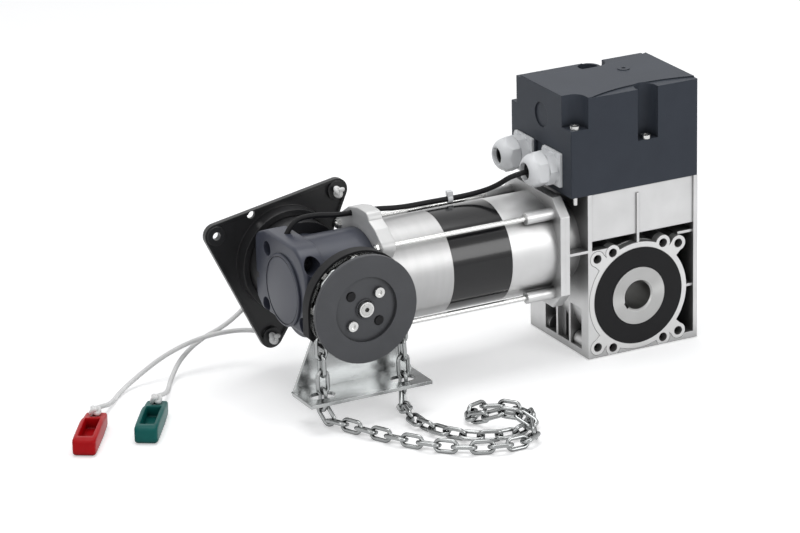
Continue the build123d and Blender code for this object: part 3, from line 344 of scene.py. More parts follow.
# %% Pull handles
handle_turn = math.radians(57)
cord_hole_reach = 61.0
cord_hole_r = 2.5
handle_floor = -50.0
handle_stations = [  # distance along, half width, low, high, corner
    (0.0, 7.6, 2.4, 12.0, 2.0), (0.5, 8.8, 1.2, 13.2, 2.4), (1.6, 9.6, 0.3, 14.2, 2.6),
    (4.0, 9.9, 0.05, 14.8, 2.6), (12.0, 10.0, 0.0, 15.0, 2.4), (40.0, 10.0, 0.0, 15.0, 2.2),
    (47.0, 9.9, 0.0, 14.6, 2.2), (56.0, 9.6, 0.0, 12.6, 2.2), (64.0, 9.4, 0.05, 12.0, 2.2),
    (67.6, 9.1, 0.3, 11.8, 2.2), (69.2, 8.3, 1.0, 11.2, 2.2), (69.9, 7.0, 2.0, 10.2, 2.0),
]
window_stations = [
    (9.0, 5.4, 4.2, 19.0, 1.2), (10.0, 6.2, 4.2, 19.0, 1.6), (50.0, 6.2, 4.2, 19.0, 1.6),
    (51.0, 5.4, 4.2, 19.0, 1.2),
]


def rounded_section(half, low, high, corner, count=6):
    """Points of a rounded rectangle across the handle, in millimetres."""
    points = []
    centres = ((half - corner, high - corner, 0), (-half + corner, high - corner, 90),
               (-half + corner, low + corner, 180), (half - corner, low + corner, 270))
    for across, up, first in centres:
        for k in range(count + 1):
            turn = math.radians(first + 90 * k / count)
            points.append((across + corner * math.cos(turn), up + corner * math.sin(turn)))
    return points


def loft_solid(name, stations):
    """Closed mesh through sections given as (distance along, half width, low, high, corner)."""
    return skin(name, [[Vector((along, across, up)) * MM for across, up in rounded_section(*section)]
                       for along, *section in stations])


def pull_handle(colour, knot_place):
    """Handle whose cord hole is under the last knot of its cord."""
    body = loft_solid(f"pull_handle_{colour}", handle_stations)
    window = loft_solid("window", window_stations)
    bpy.ops.mesh.primitive_cylinder_add(vertices=40, radius=cord_hole_r * MM, depth=50 * MM,
                                        location=(cord_hole_reach * MM, 0, 0))
    cord_hole = bpy.context.active_object
    shape_from(body, cut=[window, cord_hole], soften=0.55, sharp_degrees=40)
    corner = Vector((knot_place[0] - cord_hole_reach * math.cos(handle_turn),
                     knot_place[1] - cord_hole_reach * math.sin(handle_turn), handle_floor))
    body.data.transform(Matrix.Translation(corner * MM) @ Matrix.Rotation(handle_turn, 4, "Z"))
    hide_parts(f"{colour}_handle")
    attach(body, "operator")
    return body


handles = {colour: pull_handle(colour, route[-1]) for colour, route in pull_routes}
print("handles", {colour: len(piece.data.polygons) for colour, piece in handles.items()})

# %% [markdown]
# The cord itself runs from the middle of one knot to the middle of the other. On the machine its end
# in the lever moves with the lever and the rest stays. Riding on one body would tear it out of one
# of its holes, so here it rides on none and stays where it is drawn.

# %% Pull cords
knot_lift = -2.0
cord_step = 0.9 * MM
braid_inset = 0.06 * MM
for colour, route in pull_routes:
    x, y, z = route[-1]
    knot = stopper_knot(f"handle_knot_{colour}", (x, y, z + knot_lift), (x, y, z + knot_aim),
                        "handle_knots", "operator")
    line = even_line(smooth_line(route), cord_step)
    piece = tube_mesh(f"pull_cord_{colour}_braid", line, cord_diameter / 2 - braid_inset, 32, braid)
    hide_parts(f"{colour}_cord")
    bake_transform(piece)
    braided += [knot, piece]
    print(colour, "cord", round(line_length(line), 4), "m")

# %% [markdown]
# The signal lead leaves the front gland, passes the ear of the end shield and goes into the hand
# drive. It is a round sheathed lead, so its tube is made as the cords are, without the relief.

# %% Signal lead
lead_step = 2.0 * MM
lead_line = even_line(smooth_line(lead_route), lead_step)
lead = tube_mesh("signal_lead_sheath", lead_line, lead_diameter / 2, 24)
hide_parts("signal_lead")
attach(lead, "operator")
print("signal lead", round(line_length(lead_line), 4), "m")

# %% [markdown]
# A gland nut is a hexagon whose corners run out into a round dome. A cut of a cone from a prism
# would do it too, but each ring of the mesh can simply take the smaller of the hexagon and a
# turned outline. This is also how such a nut is made: a hexagonal bar, turned down at its ends.

# %% Gland nuts
nut_half_width = 14.0
nut_outline = [  # distance from the back, largest radius there
    (0.0, 11.6), (0.0, 13.6), (0.0, 14.6), (0.5, 15.3), (1.2, 16.2), (7.6, 16.2), (8.6, 15.7),
    (9.4, 14.9), (10.0, 14.2), (11.4, 13.7), (13.2, 12.8), (14.8, 11.6), (16.0, 10.3), (16.7, 9.2),
    (17.0, 8.3), (16.8, 7.7), (16.2, 7.45), (12.6, 7.4),
]


def hexagon_reach(turn):
    """Distance from the nut's axis to the side of its hexagon."""
    part = (turn + math.pi / 6) % (math.pi / 3) - math.pi / 6
    return nut_half_width / math.cos(part)


def gland_nut(name, x_back, y, z, around=96):
    rings = []
    for step, reach in nut_outline:
        ring = []
        for k in range(around):
            turn = 2 * math.pi * k / around
            r = min(reach, hexagon_reach(turn))
            place = Vector((x_back - step, y + r * math.cos(turn), z + r * math.sin(turn)))
            ring.append(place * MM)
        rings.append(ring)
    piece = skin(name, rings, caps=False)
    smooth_shade(piece.data, 28)
    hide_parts("gland_nuts")
    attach(piece, "operator")
    return piece


gland_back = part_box("gland_nuts")[1][0] / MM
gland_z = 121.0
gland_nuts = [gland_nut(f"gland_nut_{side}", gland_back, y, gland_z)
              for side, y in (("front", 31.0), ("rear", 80.0))]
print("gland nuts", len(gland_nuts))

# %% [markdown]
# The castings have corners that are rounder than a turned or sawn block.
# Their outline is the hull of a few circles, as if a string were pulled round posts of different
# thickness. Shrinking every circle by the same amount moves the whole outline in evenly, and
# that gives a rounded edge when such outlines are stacked along an axis. A bevel could round the
# edge too, but the many short edges of such a ring limit its width. This way holds as long as the
# rounding is smaller than every circle.

# %% Hull castings
def hull_ring(spots, shrink=0.0, count=144):
    """Points round several circles given as (u, v, radius) in millimetres."""
    ring = []
    for k in range(count):
        turn = 2 * math.pi * k / count
        cos, sin = math.cos(turn), math.sin(turn)
        u, v, r = max(spots, key=lambda spot: spot[0] * cos + spot[1] * sin + spot[2])
        ring.append((u + (r - shrink) * cos, v + (r - shrink) * sin))
    return ring


def stack_rings(name, axis, stations):
    """Closed mesh through rings. stations are (place along the axis, ring) in millimetres."""
    set_out = {"x": lambda along, u, v: (along, u, v), "y": lambda along, u, v: (u, along, v),
               "z": lambda along, u, v: (u, v, along)}[axis]
    return skin(name, [[Vector(set_out(along, u, v)) * MM for u, v in ring]
                       for along, ring in stations])


def hull_block(name, axis, spots, start, end, round_start=0.0, round_end=0.0):
    """Hull outline pushed along an axis, with either end rounded over."""
    steps = 6
    stations = []
    for edge, inward, r, order in ((start, 1, round_start, range(steps + 1)),
                                   (end, -1, round_end, range(steps, -1, -1))):
        for k in order if r else (0,):
            turn = math.pi / 2 * k / steps
            stations.append((edge + inward * r * (1 - math.cos(turn)),
                             hull_ring(spots, r * (1 - math.sin(turn)))))
    return stack_rings(name, axis, stations)


def round_bar(name, axis, place, r, start, end, round_start=0.0, round_end=0.0):
    """Round bar along an axis. place is its centre across the axis."""
    return hull_block(name, axis, ((*place, r),), start, end, round_start, round_end)


print("points in a hull ring", len(hull_ring(((0.0, 0.0, 1.0),))))

# %% [markdown]
# The hand drive's housing has a head with a large round shoulder at the upper front, a barrel
# towards the motor and a nose that carries the chain wheel. One hull can't hold all three, since
# they lie along two axes, so each is a block of its own and they are joined. Then the wells for
# the screws are cut: three open on the head's end and one on its shoulder.

# %% Hand drive housing
drive_x = -278.0
motor_y, motor_z = 50.0, 49.0
wheel_axis, motor_axis = (drive_x, motor_z), (motor_y, motor_z)
head_left, head_right = -318.0, -298.0
head_spots = ((33.0, 66.0, 28.0), (14.0, 29.5, 9.0), (80.0, 84.0, 10.0), (92.0, 79.0, 10.0),
              (93.0, 34.0, 9.0), (88.0, 28.5, 8.0))
well_places = ((78.0, 78.5), (82.0, 27.0), (13.0, 30.0))
well_r, well_depth, well_past = 6.5, 17.0, 8.0
shoulder_place, shoulder_seat, shoulder_well_r = (-309.0, 81.0), 26.0, 7.5
barrel_r, barrel_right, nose_r, shaft_bore_r = 42.5, -245.0, 30.0, 11.05
lead_entry_place = (-305.0, 64.0)
head = hull_block("drive_housing_casting", "x", head_spots, head_left, head_right, round_start=3.0)
barrel = round_bar("barrel", "x", motor_axis, barrel_r, head_right - 6, barrel_right)
nose = round_bar("nose", "y", wheel_axis, nose_r, 5.0, 95.0)
wells = [round_bar("well", "x", place, well_r, head_left - well_past, head_left + well_depth)
         for place in well_places]
wells.append(round_bar("shoulder_well", "y", shoulder_place, shoulder_well_r, -2.0, shoulder_seat))
shaft_bore = round_bar("shaft_bore", "y", wheel_axis, shaft_bore_r, 4.0, 14.5)
lead_entry = round_bar("entry", "z", lead_entry_place, lead_hole_r, 86.0, 100.0)
housing = shape_from(head, add=(barrel, nose), cut=wells + [shaft_bore, lead_entry])
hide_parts("drive_housing")
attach(housing, "operator")
print("housing faces", len(housing.data.polygons))

# %% [markdown]
# The end cap is a thin round plate with a groove near its rim. It lies nearly flush with the
# head, so light only catches its edge and its groove. A groove in relief would be lost at this
# size, so the middle is cut away and a slightly smaller plate is set back in.

# %% End cap
cap_place = (47.0, 51.0)
cap_r, groove_r, middle_r = 31.5, 29.6, 28.7
cap_disc = round_bar("end_cap_disc", "x", cap_place, cap_r, head_left - 2.2, head_left + 0.4,
                     round_start=1.0)
cap_groove = round_bar("groove", "x", cap_place, groove_r, head_left - 4.0, head_left - 1.4)
cap_middle = round_bar("middle", "x", cap_place, middle_r, head_left - 2.0, head_left - 1.2,
                       round_start=0.4)
end_cap = shape_from(cap_disc, cut=[cap_groove])
end_cap = shape_from(end_cap, add=[cap_middle])
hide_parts("end_cap")
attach(end_cap, "operator")
print("cap faces", len(end_cap.data.polygons))

# %% [markdown]
# A socket screw sits at the bottom of each well. Only a dark head is seen there, but the socket is
# cut all the same, because it is a real form and costs few faces. The screw in the shoulder
# stands across the others.

# %% Housing screws
screw_head_r, screw_head_t = 3.6, 4.0
screw_shank_r, screw_shank = 2.1, 6.0
socket_r, socket_depth = 1.9, 2.0


def socket_screw(name, axis, place, seat):
    """Screw whose head points back along the axis from its seat. place is its centre across it."""
    top = seat - screw_head_t
    body = round_bar(name, axis, place, screw_head_r, top, seat, round_start=0.5)
    stem = round_bar("stem", axis, place, screw_shank_r, seat, seat + screw_shank)
    u, v = place
    hexagon = [(u + socket_r * math.cos(math.pi / 3 * k), v + socket_r * math.sin(math.pi / 3 * k))
               for k in range(6)]
    key = stack_rings("key", axis, [(top - 1, hexagon), (top + socket_depth, hexagon)])
    return shape_from(body, add=[stem], cut=[key])


well_screws = [socket_screw(f"housing_screw_{k + 1}", "x", place, head_left + well_depth)
               for k, place in enumerate(well_places)]
well_screws.append(socket_screw("housing_screw_4", "y", shoulder_place, shoulder_seat))
for screw in well_screws:
    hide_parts("housing_screws")
    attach(screw, "operator")
print("housing screws", len(well_screws))

# %% [markdown]
# The guard is a thin moulded cup with straight sides below, where the strands leave. It stands
# back from the front disc, so the bright links show in the gap between them. A sheet with a
# thickness modifier would do for the wall, but not for the spacer behind it, so both are cut
# from whole shapes.

# %% Chain guard
guard_front, guard_back, guard_wall = -13.0, -2.6, 1.8
guard_r, room_r = 47.6, 45.6
spacer_r, spacer_bore_r = 26.0, 14.0


def guard_spots(r, low, corner=2.0):
    return ((drive_x, motor_z, r), (drive_x - r + corner, low + corner, corner),
            (drive_x + r - corner, low + corner, corner))


guard = hull_block("chain_guard_cup", "y", guard_spots(guard_r, 27.0), guard_front, guard_back)
cup_room = hull_block("room", "y", guard_spots(room_r, 10.0), guard_front - 7,
                      guard_back - guard_wall)
spacer = round_bar("spacer", "y", wheel_axis, spacer_r, -4.0, 2.0)
spacer_bore = round_bar("spacer_bore", "y", wheel_axis, spacer_bore_r, -6.0, 3.0)
guard = shape_from(guard, cut=[cup_room])
guard = shape_from(guard, add=[spacer], cut=[spacer_bore])
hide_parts("chain_guard")
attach(guard, "operator")
print("guard faces", len(guard.data.polygons))

# %% [markdown]
# The dark disc in front of the chain wheel is a moulding with a deep round recess. The hub and the
# two screws stand on pads in it, and two holes lie across from the screws, each with a black disc
# near its floor that makes the hole dark. The recess alone could be an outline spun round the axis,
# but the pads and holes lie off the axis, so they are joined and cut. It all turns with the wheel,
# and the black discs ride with the disc.

# %% Wheel disc
disc_front, disc_back = -26.5, -22.5
disc_r, recess_r, recess_depth = 47.2, 28.4, 3.2
screw_turns, floor_disc_turns = (45, 225), (135, 315)
pad_r, hub_pad_r, pad_top, pad_foot = 4.4, 8.6, disc_front + 1.8, disc_back - 0.4
screw_hole_r, blind_r, floor_disc_r, hub_bore_r = 2.5, 4.4, 3.9, 5.1
cut_from, cut_to = disc_front - 2, disc_back + 2


def on_circle(turns, r=18.0):
    return [(drive_x + r * math.cos(math.radians(a)), motor_z + r * math.sin(math.radians(a)))
            for a in turns]


disc = round_bar("wheel_disc_moulding", "y", wheel_axis, disc_r, disc_front, disc_back,
                 round_start=0.6)
recess = round_bar("recess", "y", wheel_axis, recess_r, cut_from, disc_front + recess_depth)
pads = [round_bar("pad", "y", place, pad_r, pad_top, pad_foot) for place in on_circle(screw_turns)]
pads.append(round_bar("hub_pad", "y", wheel_axis, hub_pad_r, pad_top, pad_foot, round_start=0.4))
holes = [round_bar("hole", "y", place, screw_hole_r, cut_from, cut_to)
         for place in on_circle(screw_turns)]
holes += [round_bar("blind", "y", place, blind_r, cut_from, disc_back - 0.2)
          for place in on_circle(floor_disc_turns)]
holes.append(round_bar("hub_bore", "y", wheel_axis, hub_bore_r, cut_from, cut_to))
disc = shape_from(disc, cut=[recess])
disc = shape_from(disc, add=pads, cut=holes)
# Black discs near the floor of the two blind holes, which make the holes dark.
hole_floor_discs = [round_bar(f"hole_floor_disc_{k + 1}", "y", place, floor_disc_r, disc_front + 1.9, disc_back - 0.3,
                   round_start=0.5)
         for k, place in enumerate(on_circle(floor_disc_turns))]
for piece in [disc] + hole_floor_discs:
    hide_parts("wheel_disc")
    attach(piece, "chain_drive")
print("disc faces", len(disc.data.polygons), "hole_floor_discs", len(hole_floor_discs))

# %% [markdown]
# The end shield of the motor has four lugs for the rods and an ear on top for the lead. Its outline
# steps down towards the front in two soft shoulders. One hull would bridge the steps, so the
# shield is joined from two hulls, a disc and the lugs.

# %% End shield
shield_left, shield_right = -245.0, -232.0
shield_r, lug_r, rod_hole_r = 44.8, 7.0, 2.3
lead_hole_place = (64.0, 101.0)
ear_high = ((80.0, 90.0, 7.0), (66.0, 99.0, 7.0), (50.0, 103.0, 7.0), (38.0, 103.0, 7.0),
            (50.0, 60.0, 20.0))
ear_low = ((36.0, 97.0, 8.0), (24.0, 93.0, 7.0), (14.0, 85.0, 7.0), (50.0, 60.0, 20.0))
rod_places = [(motor_y + a, motor_z + b) for a in (-36.0, 36.0) for b in (-36.0, 36.0)]
shield = round_bar("end_shield_casting", "x", motor_axis, shield_r, shield_left, shield_right)
ears = [hull_block("ear", "x", spots, shield_left, shield_right, round_start=1.0)
        for spots in (ear_high, ear_low)]
lugs = [round_bar("lug", "x", place, lug_r, shield_left, shield_right, round_start=1.0)
        for place in rod_places]
holes = [round_bar("hole", "x", place, rod_hole_r, shield_left - 1, shield_right + 1)
         for place in rod_places]
holes.append(round_bar("lead_hole", "x", lead_hole_place, lead_hole_r,
                       shield_left - 1, shield_right + 1))
shield = shape_from(shield, add=ears + lugs, cut=holes)
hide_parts("rear_end_shield")
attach(shield, "operator")
print("shield faces", len(shield.data.polygons))


# %% [markdown]
# Materials start here. A real surface is never one flat colour. Painted pictures could carry the
# marks, but noise that follows the piece needs no unwrapping and looks right from any side.
# First come the two parts that make the colour: a drift round its middle value, and a painted shade
# that darkens pockets and corners, as if less light reached them there.

# %% Colour of a finish
def add(tree, kind, **values):
    """New node with its input values. An underscore in a name stands for a space."""
    node = tree.nodes.new(kind)
    for label, value in values.items():
        node.inputs[label.replace("_", " ")].default_value = value
    return node


def drifting_colour(tree, vector, colour, drift):
    broad = add(tree, "ShaderNodeTexNoise", Scale=35.0, Detail=3.0)
    ramp = add(tree, "ShaderNodeValToRGB")
    for stop, place, change in zip(ramp.color_ramp.elements, (0.3, 0.7), (1 - drift, 1 + drift)):
        stop.position = place
        stop.color = [min(1.0, c * change) for c in colour] + [1.0]
    tree.links.new(vector, broad.inputs["Vector"])
    tree.links.new(broad.outputs["Fac"], ramp.inputs["Fac"])
    return ramp.outputs["Color"]


# Painted shade: the colour is multiplied darker where ambient occlusion finds near surfaces.
def painted_hollow_shade(tree, colour, hollow, reach):
    """The colour, darker where other surfaces are nearer than reach, in millimetres."""
    corner = add(tree, "ShaderNodeAmbientOcclusion", Distance=reach * MM)
    corner.samples = 8
    open_to = add(tree, "ShaderNodeMapRange", From_Min=0.15, From_Max=0.85,
                  To_Min=1.0 - hollow)
    shade = tree.nodes.new("ShaderNodeMix")
    shade.data_type = "RGBA"
    shade.blend_type = "MULTIPLY"
    shade.inputs["Factor"].default_value = 1.0
    tree.links.new(corner.outputs["AO"], open_to.inputs["Value"])
    tree.links.new(colour, shade.inputs["A"])
    tree.links.new(open_to.outputs["Result"], shade.inputs["B"])
    return shade.outputs["Result"]


# %% [markdown]
# Then comes the whole finish. The same fine noise drives the roughness and the relief, because a
# grain that catches light is also the grain that scatters it. Real edges are rounded by paint or
# wear. The bevel node lets a sharp edge catch the light like a rounded one, without more mesh.

# %% Finish
def finish(name, colour, roughness, metallic=0.0, drift=0.06, grain=900.0, relief=0.15,
           depth=0.02, rough_drift=0.08, stretch=(1.0, 1.0, 1.0), edge=0.0, coat=0.0, hollow=0.0,
           reach=12.0, gloss=0.5):
    """Surface with drift in colour and roughness and a grain in relief. Lengths are in millimetres."""
    material = bpy.data.materials.new(name)
    material.use_nodes = True
    tree = material.node_tree
    shader = tree.nodes["Principled BSDF"]
    shader.inputs["Metallic"].default_value = metallic
    shader.inputs["Coat Weight"].default_value = coat
    shader.inputs["Coat Roughness"].default_value = 0.08
    shader.inputs["Specular IOR Level"].default_value = gloss
    place = add(tree, "ShaderNodeTexCoord")
    scale = add(tree, "ShaderNodeMapping", Scale=stretch)
    tree.links.new(place.outputs["Object"], scale.inputs["Vector"])
    shown = drifting_colour(tree, scale.outputs["Vector"], colour, drift)
    # Painted shade in hollows and corners, when hollow is set.
    if hollow:
        shown = painted_hollow_shade(tree, shown, hollow, reach)
    tree.links.new(shown, shader.inputs["Base Color"])
    fine = add(tree, "ShaderNodeTexNoise", Scale=grain, Detail=4.0)
    span = add(tree, "ShaderNodeMapRange", To_Min=max(0.02, roughness - rough_drift),
               To_Max=min(1.0, roughness + rough_drift))
    bump = add(tree, "ShaderNodeBump", Strength=relief, Distance=depth * MM)
    tree.links.new(scale.outputs["Vector"], fine.inputs["Vector"])
    tree.links.new(fine.outputs["Fac"], span.inputs["Value"])
    tree.links.new(span.outputs["Result"], shader.inputs["Roughness"])
    tree.links.new(fine.outputs["Fac"], bump.inputs["Height"])
    if edge:
        soft = add(tree, "ShaderNodeBevel", Radius=edge * MM)
        soft.samples = 4
        tree.links.new(soft.outputs["Normal"], bump.inputs["Normal"])
    tree.links.new(bump.outputs["Normal"], shader.inputs["Normal"])
    return material


# %% [markdown]
# Turning leaves rings, and a stack of sheets leaves lines. Cutting them as mesh would take
# thousands of faces. Both are even bands along an axis, so one wave texture in the relief serves
# for both. The second helper puts a finish on its pieces.

# %% Rings and dressing
wave_repeat = 0.314  # metres between the bands of the wave texture at scale 1
bands_to_pitch = 3.2 / 6.283  # about two pitches to a band: the mark and the land beside it


def add_rings(material, axis, pitch, strength, depth):
    """Even bands along an axis. The pitch, half of a band, and the depth are in millimetres."""
    tree = material.node_tree
    bump = [n for n in tree.nodes if n.bl_idname == "ShaderNodeBump"][0]
    place = [n for n in tree.nodes if n.bl_idname == "ShaderNodeTexCoord"][0]
    bands = add(tree, "ShaderNodeTexWave", Scale=wave_repeat / (pitch * MM) * bands_to_pitch,
                Distortion=0.4)
    bands.wave_type = "BANDS"
    bands.bands_direction = axis
    marks = add(tree, "ShaderNodeBump", Strength=strength, Distance=depth * MM)
    tree.links.new(place.outputs["Object"], bands.inputs["Vector"])
    tree.links.new(bands.outputs["Fac"], marks.inputs["Height"])
    tree.links.new(bump.outputs["Normal"], marks.inputs["Normal"])
    tree.links.new(marks.outputs["Normal"], tree.nodes["Principled BSDF"].inputs["Normal"])


def dress(material, *pieces):
    """Put a material on pieces, given as names of solids or as the meshes made above."""
    for piece in pieces:
        if isinstance(piece, str):
            piece = nodes[piece]
        piece.data.materials.clear()
        piece.data.materials.append(material)
    print(material.name, "on", len(pieces))


# %% [markdown]
# The gearbox and the motor's end castings are blasted aluminium die castings: pale, matte and
# slightly grainy. Full metal would turn black wherever nothing bright is mirrored, so the blasted
# finish is a rough metal mixed with some diffuse light. Pockets and corners get a painted shade.

# %% Cast aluminium
cast_aluminium = finish("cast_aluminium", (0.60, 0.60, 0.60), 0.42, metallic=0.85, grain=1400,
                        relief=0.35, depth=0.05, edge=0.7, hollow=0.8, reach=26.0)
dress(cast_aluminium, "gearbox_housing", "front_end_bell")
machined_aluminium = finish("machined_aluminium", (0.66, 0.66, 0.655), 0.38, metallic=0.75,
                            drift=0.04, edge=0.4, hollow=0.7, reach=8.0)
dress(machined_aluminium, "front_flange_cover", "rear_flange_cover")
shield_aluminium = finish("shield_aluminium", (0.66, 0.66, 0.655), 0.45, metallic=0.3, drift=0.05,
                          grain=1200, relief=0.3, depth=0.04, edge=0.7, hollow=0.5, reach=6.0)
dress(shield_aluminium, shield)

# %% [markdown]
# The rear can is drawn and turned, so it is smoother than a casting and carries fine rings round
# the motor axis. The shafts are steel with the same kind of rings.

# %% Turned aluminium and steel
turned_aluminium = finish("turned_aluminium", (0.46, 0.46, 0.46), 0.42, metallic=0.8, drift=0.03,
                          grain=700, relief=0.1, stretch=(6.0, 1.0, 1.0), edge=0.4)
add_rings(turned_aluminium, "X", 0.6, 0.2, 0.01)
dress(turned_aluminium, "rear_can")
turned_steel = finish("turned_steel", (0.50, 0.50, 0.49), 0.28, metallic=1.0, grain=800, relief=0.2,
                      stretch=(1.0, 5.0, 1.0), edge=0.5)
add_rings(turned_steel, "Y", 0.5, 0.25, 0.01)
dress(turned_steel, "rotor_shaft", "wheel_shaft")

# %% [markdown]
# The end of the hollow shaft is faced on a lathe, and its round tool marks spread the light into
# bright fans. Rings in relief would need more detail than the render can show. Highlights that
# are stretched across the marks give much the same fans, so the tangent runs round the bore axis.

# %% Faced shaft end
faced_steel = finish("faced_steel", (0.42, 0.42, 0.415), 0.30, metallic=1.0, drift=0.05, grain=800,
                     relief=0.1, depth=0.01, rough_drift=0.04, edge=0.4)
faced_tree = faced_steel.node_tree
faced_shader = faced_tree.nodes["Principled BSDF"]
faced_shader.inputs["Anisotropic"].default_value = 0.9
round_bore = faced_tree.nodes.new("ShaderNodeTangent")
round_bore.direction_type = "RADIAL"
round_bore.axis = "Y"
faced_tree.links.new(round_bore.outputs["Tangent"], faced_shader.inputs["Tangent"])
dress(faced_steel, "hollow_shaft")

# %% [markdown]
# Bearings and gears are ground or cut steel, and the worm wheel is bronze. They only show in cut
# views, so they get a plain version of the same finish.

# %% Bearings and gears
bearing_steel = finish("ground_bearing_steel", (0.46, 0.46, 0.47), 0.2, metallic=1.0, drift=0.03,
                       edge=0.3)
dress(bearing_steel, "output_bearing_outer", "output_bearing_inner", "rotor_bearing_outer",
      "rotor_bearing_inner", "wheel_bevel_gear", "motor_bevel_gear")
bronze = finish("gear_bronze", (0.52, 0.34, 0.13), 0.35, metallic=1.0, drift=0.08, edge=0.3)
dress(bronze, "worm_wheel", "wheel_bush")

# %% [markdown]
# The stator stack is punched sheet, lacquered gloss black. Thin even lines show where the sheets
# meet, and the lacquer over them mirrors the studio in long bright streaks.

# %% Lacquered stack and windings
stack_black = finish("lacquered_stack", (0.006, 0.006, 0.007), 0.17, drift=0.2, grain=500,
                     relief=0.05, rough_drift=0.04, coat=0.15, edge=0.3, gloss=0.35)
add_rings(stack_black, "X", 1.0, 0.12, 0.02)
dress(stack_black, "stator_stack")
rotor_sheets = finish("rotor_sheets", (0.25, 0.25, 0.26), 0.4, metallic=1.0)
add_rings(rotor_sheets, "X", 1.0, 0.3, 0.03)
dress(rotor_sheets, "rotor_core")
copper = finish("varnished_copper", (0.45, 0.16, 0.06), 0.3, metallic=0.8, grain=400, relief=0.6,
                depth=0.3, coat=0.5)
dress(copper, "stator_windings")

# %% [markdown]
# Paint and moulded plastic differ mostly in how they shine. The hood and the hand drive are both
# smooth and painted in blue greys, and the hood is the duller one. A coat over the colour would
# shine too much for either, so only the gloss of the base is set.

# %% Hood and hand drive paint
# Both paints get a painted shade in their hollows and where parts stand close.
hood_paint = finish("hood_paint", (0.046, 0.053, 0.067), 0.42, drift=0.05, grain=1500, relief=0.12,
                    edge=0.7, hollow=0.7, reach=9.0, gloss=0.12)
dress(hood_paint, "hood", "hood_tray")
housing_paint = finish("drive_housing_paint", (0.050, 0.055, 0.076), 0.32, grain=1300, edge=0.9,
                       hollow=0.8, reach=10.0, gloss=0.35)
dress(housing_paint, housing, end_cap)

# %% [markdown]
# The lever is a glossy black moulding, the guard and the seals are duller, and the disc is a dark
# grey with a painted shade in its recess. The glands and their small fittings are pale grey.

# %% Moulded plastic and rubber
lever_black = finish("lever_moulding", (0.012, 0.012, 0.013), 0.34, drift=0.15, grain=1300,
                     relief=0.2, edge=0.9)
dress(lever_black, "lever_plate", "lever_boss", "lever_ring", "limit_switch")
guard_black = finish("guard_moulding", (0.010, 0.010, 0.011), 0.55, drift=0.15, grain=1300,
                     relief=0.2, edge=0.5, gloss=0.2)
dress(guard_black, guard, *hole_floor_discs)
disc_grey = finish("wheel_disc_moulding", (0.066, 0.068, 0.074), 0.5, drift=0.08, grain=1600,
                   relief=0.4, depth=0.04, edge=0.4, hollow=1.0, reach=5.0, gloss=0.4)
dress(disc_grey, disc)
seal_black = finish("seal_rubber", (0.006, 0.006, 0.007), 0.5, drift=0.15, grain=1000, relief=0.2,
                    depth=0.03, edge=0.4, gloss=0.2)
dress(seal_black, "front_shaft_seal", "rear_shaft_seal", "gland_seals", lead)
gland_grey = finish("gland_moulding", (0.80, 0.81, 0.82), 0.42, drift=0.03, grain=1200, relief=0.1,
                    edge=0.8)
dress(gland_grey, "gland_plates", "gland_bodies", "gland_locknuts", "lead_tie", "board_posts",
      "terminal_block", *gland_nuts)
board_green = finish("board_lacquer", (0.02, 0.14, 0.06), 0.3, drift=0.15, coat=0.4)
dress(board_green, "terminal_board")

# %% [markdown]
# Zinc plating on the chain, the bracket, the rods and the screws is a bright but slightly cloudy
# metal. The bracket is rolled sheet, and stretched noise gives it streaks along its length. The
# chain is a darker zinc. Both get a painted shade near other surfaces, deep between the links.
# The screws in the wells are blackened.

# %% Zinc plated steel
zinc_chain = finish("zinc_chain", (0.33, 0.34, 0.34), 0.20, metallic=1.0, drift=0.12, grain=600,
                    relief=0.25, depth=0.05, hollow=0.85, reach=5.0)
dress(zinc_chain, "hand_chain")
zinc_sheet = finish("zinc_sheet", (0.42, 0.43, 0.43), 0.24, metallic=1.0, drift=0.16, grain=260,
                    relief=0.12, depth=0.03, stretch=(0.25, 1.0, 1.0), edge=0.5, hollow=0.5,
                    reach=25.0)
dress(zinc_sheet, "chain_bracket")
zinc_small = finish("zinc_screws", (0.62, 0.62, 0.61), 0.26, metallic=1.0, edge=0.3)
dress(zinc_small, "tie_rods", "hood_screws", "bracket_screws", "wheel_nut", "wheel_screws",
      "chain_wheel")
black_screw = finish("blackened_screws", (0.04, 0.04, 0.042), 0.35, metallic=0.6, drift=0.1,
                     edge=0.3)
dress(black_screw, *well_screws)

# %% [markdown]
# The handles are injection mouldings in signal red and green. Their colours are deep, so the base
# colour is strong and the shine stays low, and wide soft edges stand for the rounded moulding.
# The cords are undyed yarn, rough and nearly white.

# %% Handles and cords
# Both handles get a painted shade where surfaces are near, as in the window.
handle_red = finish("handle_red", (0.45, 0.0015, 0.005), 0.38, drift=0.08, grain=700, relief=0.1,
                    depth=0.03, edge=1.6, hollow=0.6, reach=10.0, gloss=0.15)
dress(handle_red, handles["red"])
handle_green = finish("handle_green", (0.004, 0.105, 0.095), 0.38, drift=0.1, grain=700, relief=0.1,
                      depth=0.03, edge=1.6, hollow=0.6, reach=10.0, gloss=0.15)
dress(handle_green, handles["green"])
cord_white = finish("braided_cord", (0.86, 0.86, 0.85), 0.8, grain=2600, relief=0.6, depth=0.15)
dress(cord_white, *braided)


# %% [markdown]
# The machine stands in a white studio. More light would bleach the castings, so the white is only
# shown to the rays that look at it or mirror it. For all other rays the room is a dim grey.

# %% Rays that see white
def seen_by(tree, *rays):
    """1 for the kinds of ray that are named and 0 for all others."""
    seen = tree.nodes.new("ShaderNodeLightPath")
    value = seen.outputs[rays[0]]
    for ray in rays[1:]:
        either = tree.nodes.new("ShaderNodeMath")
        either.operation = "MAXIMUM"
        tree.links.new(value, either.inputs[0])
        tree.links.new(seen.outputs[ray], either.inputs[1])
        value = either.outputs["Value"]
    return value


white_rays = ("Is Camera Ray", "Is Transmission Ray", "Is Glossy Ray")
print("white to", white_rays)

# %% [markdown]
# The floor is a wide pale sheet of paper. It has to keep the soft shadow, so it is a real diffuse
# surface, and a faint glow for the same rays lifts it to white where no shadow falls.

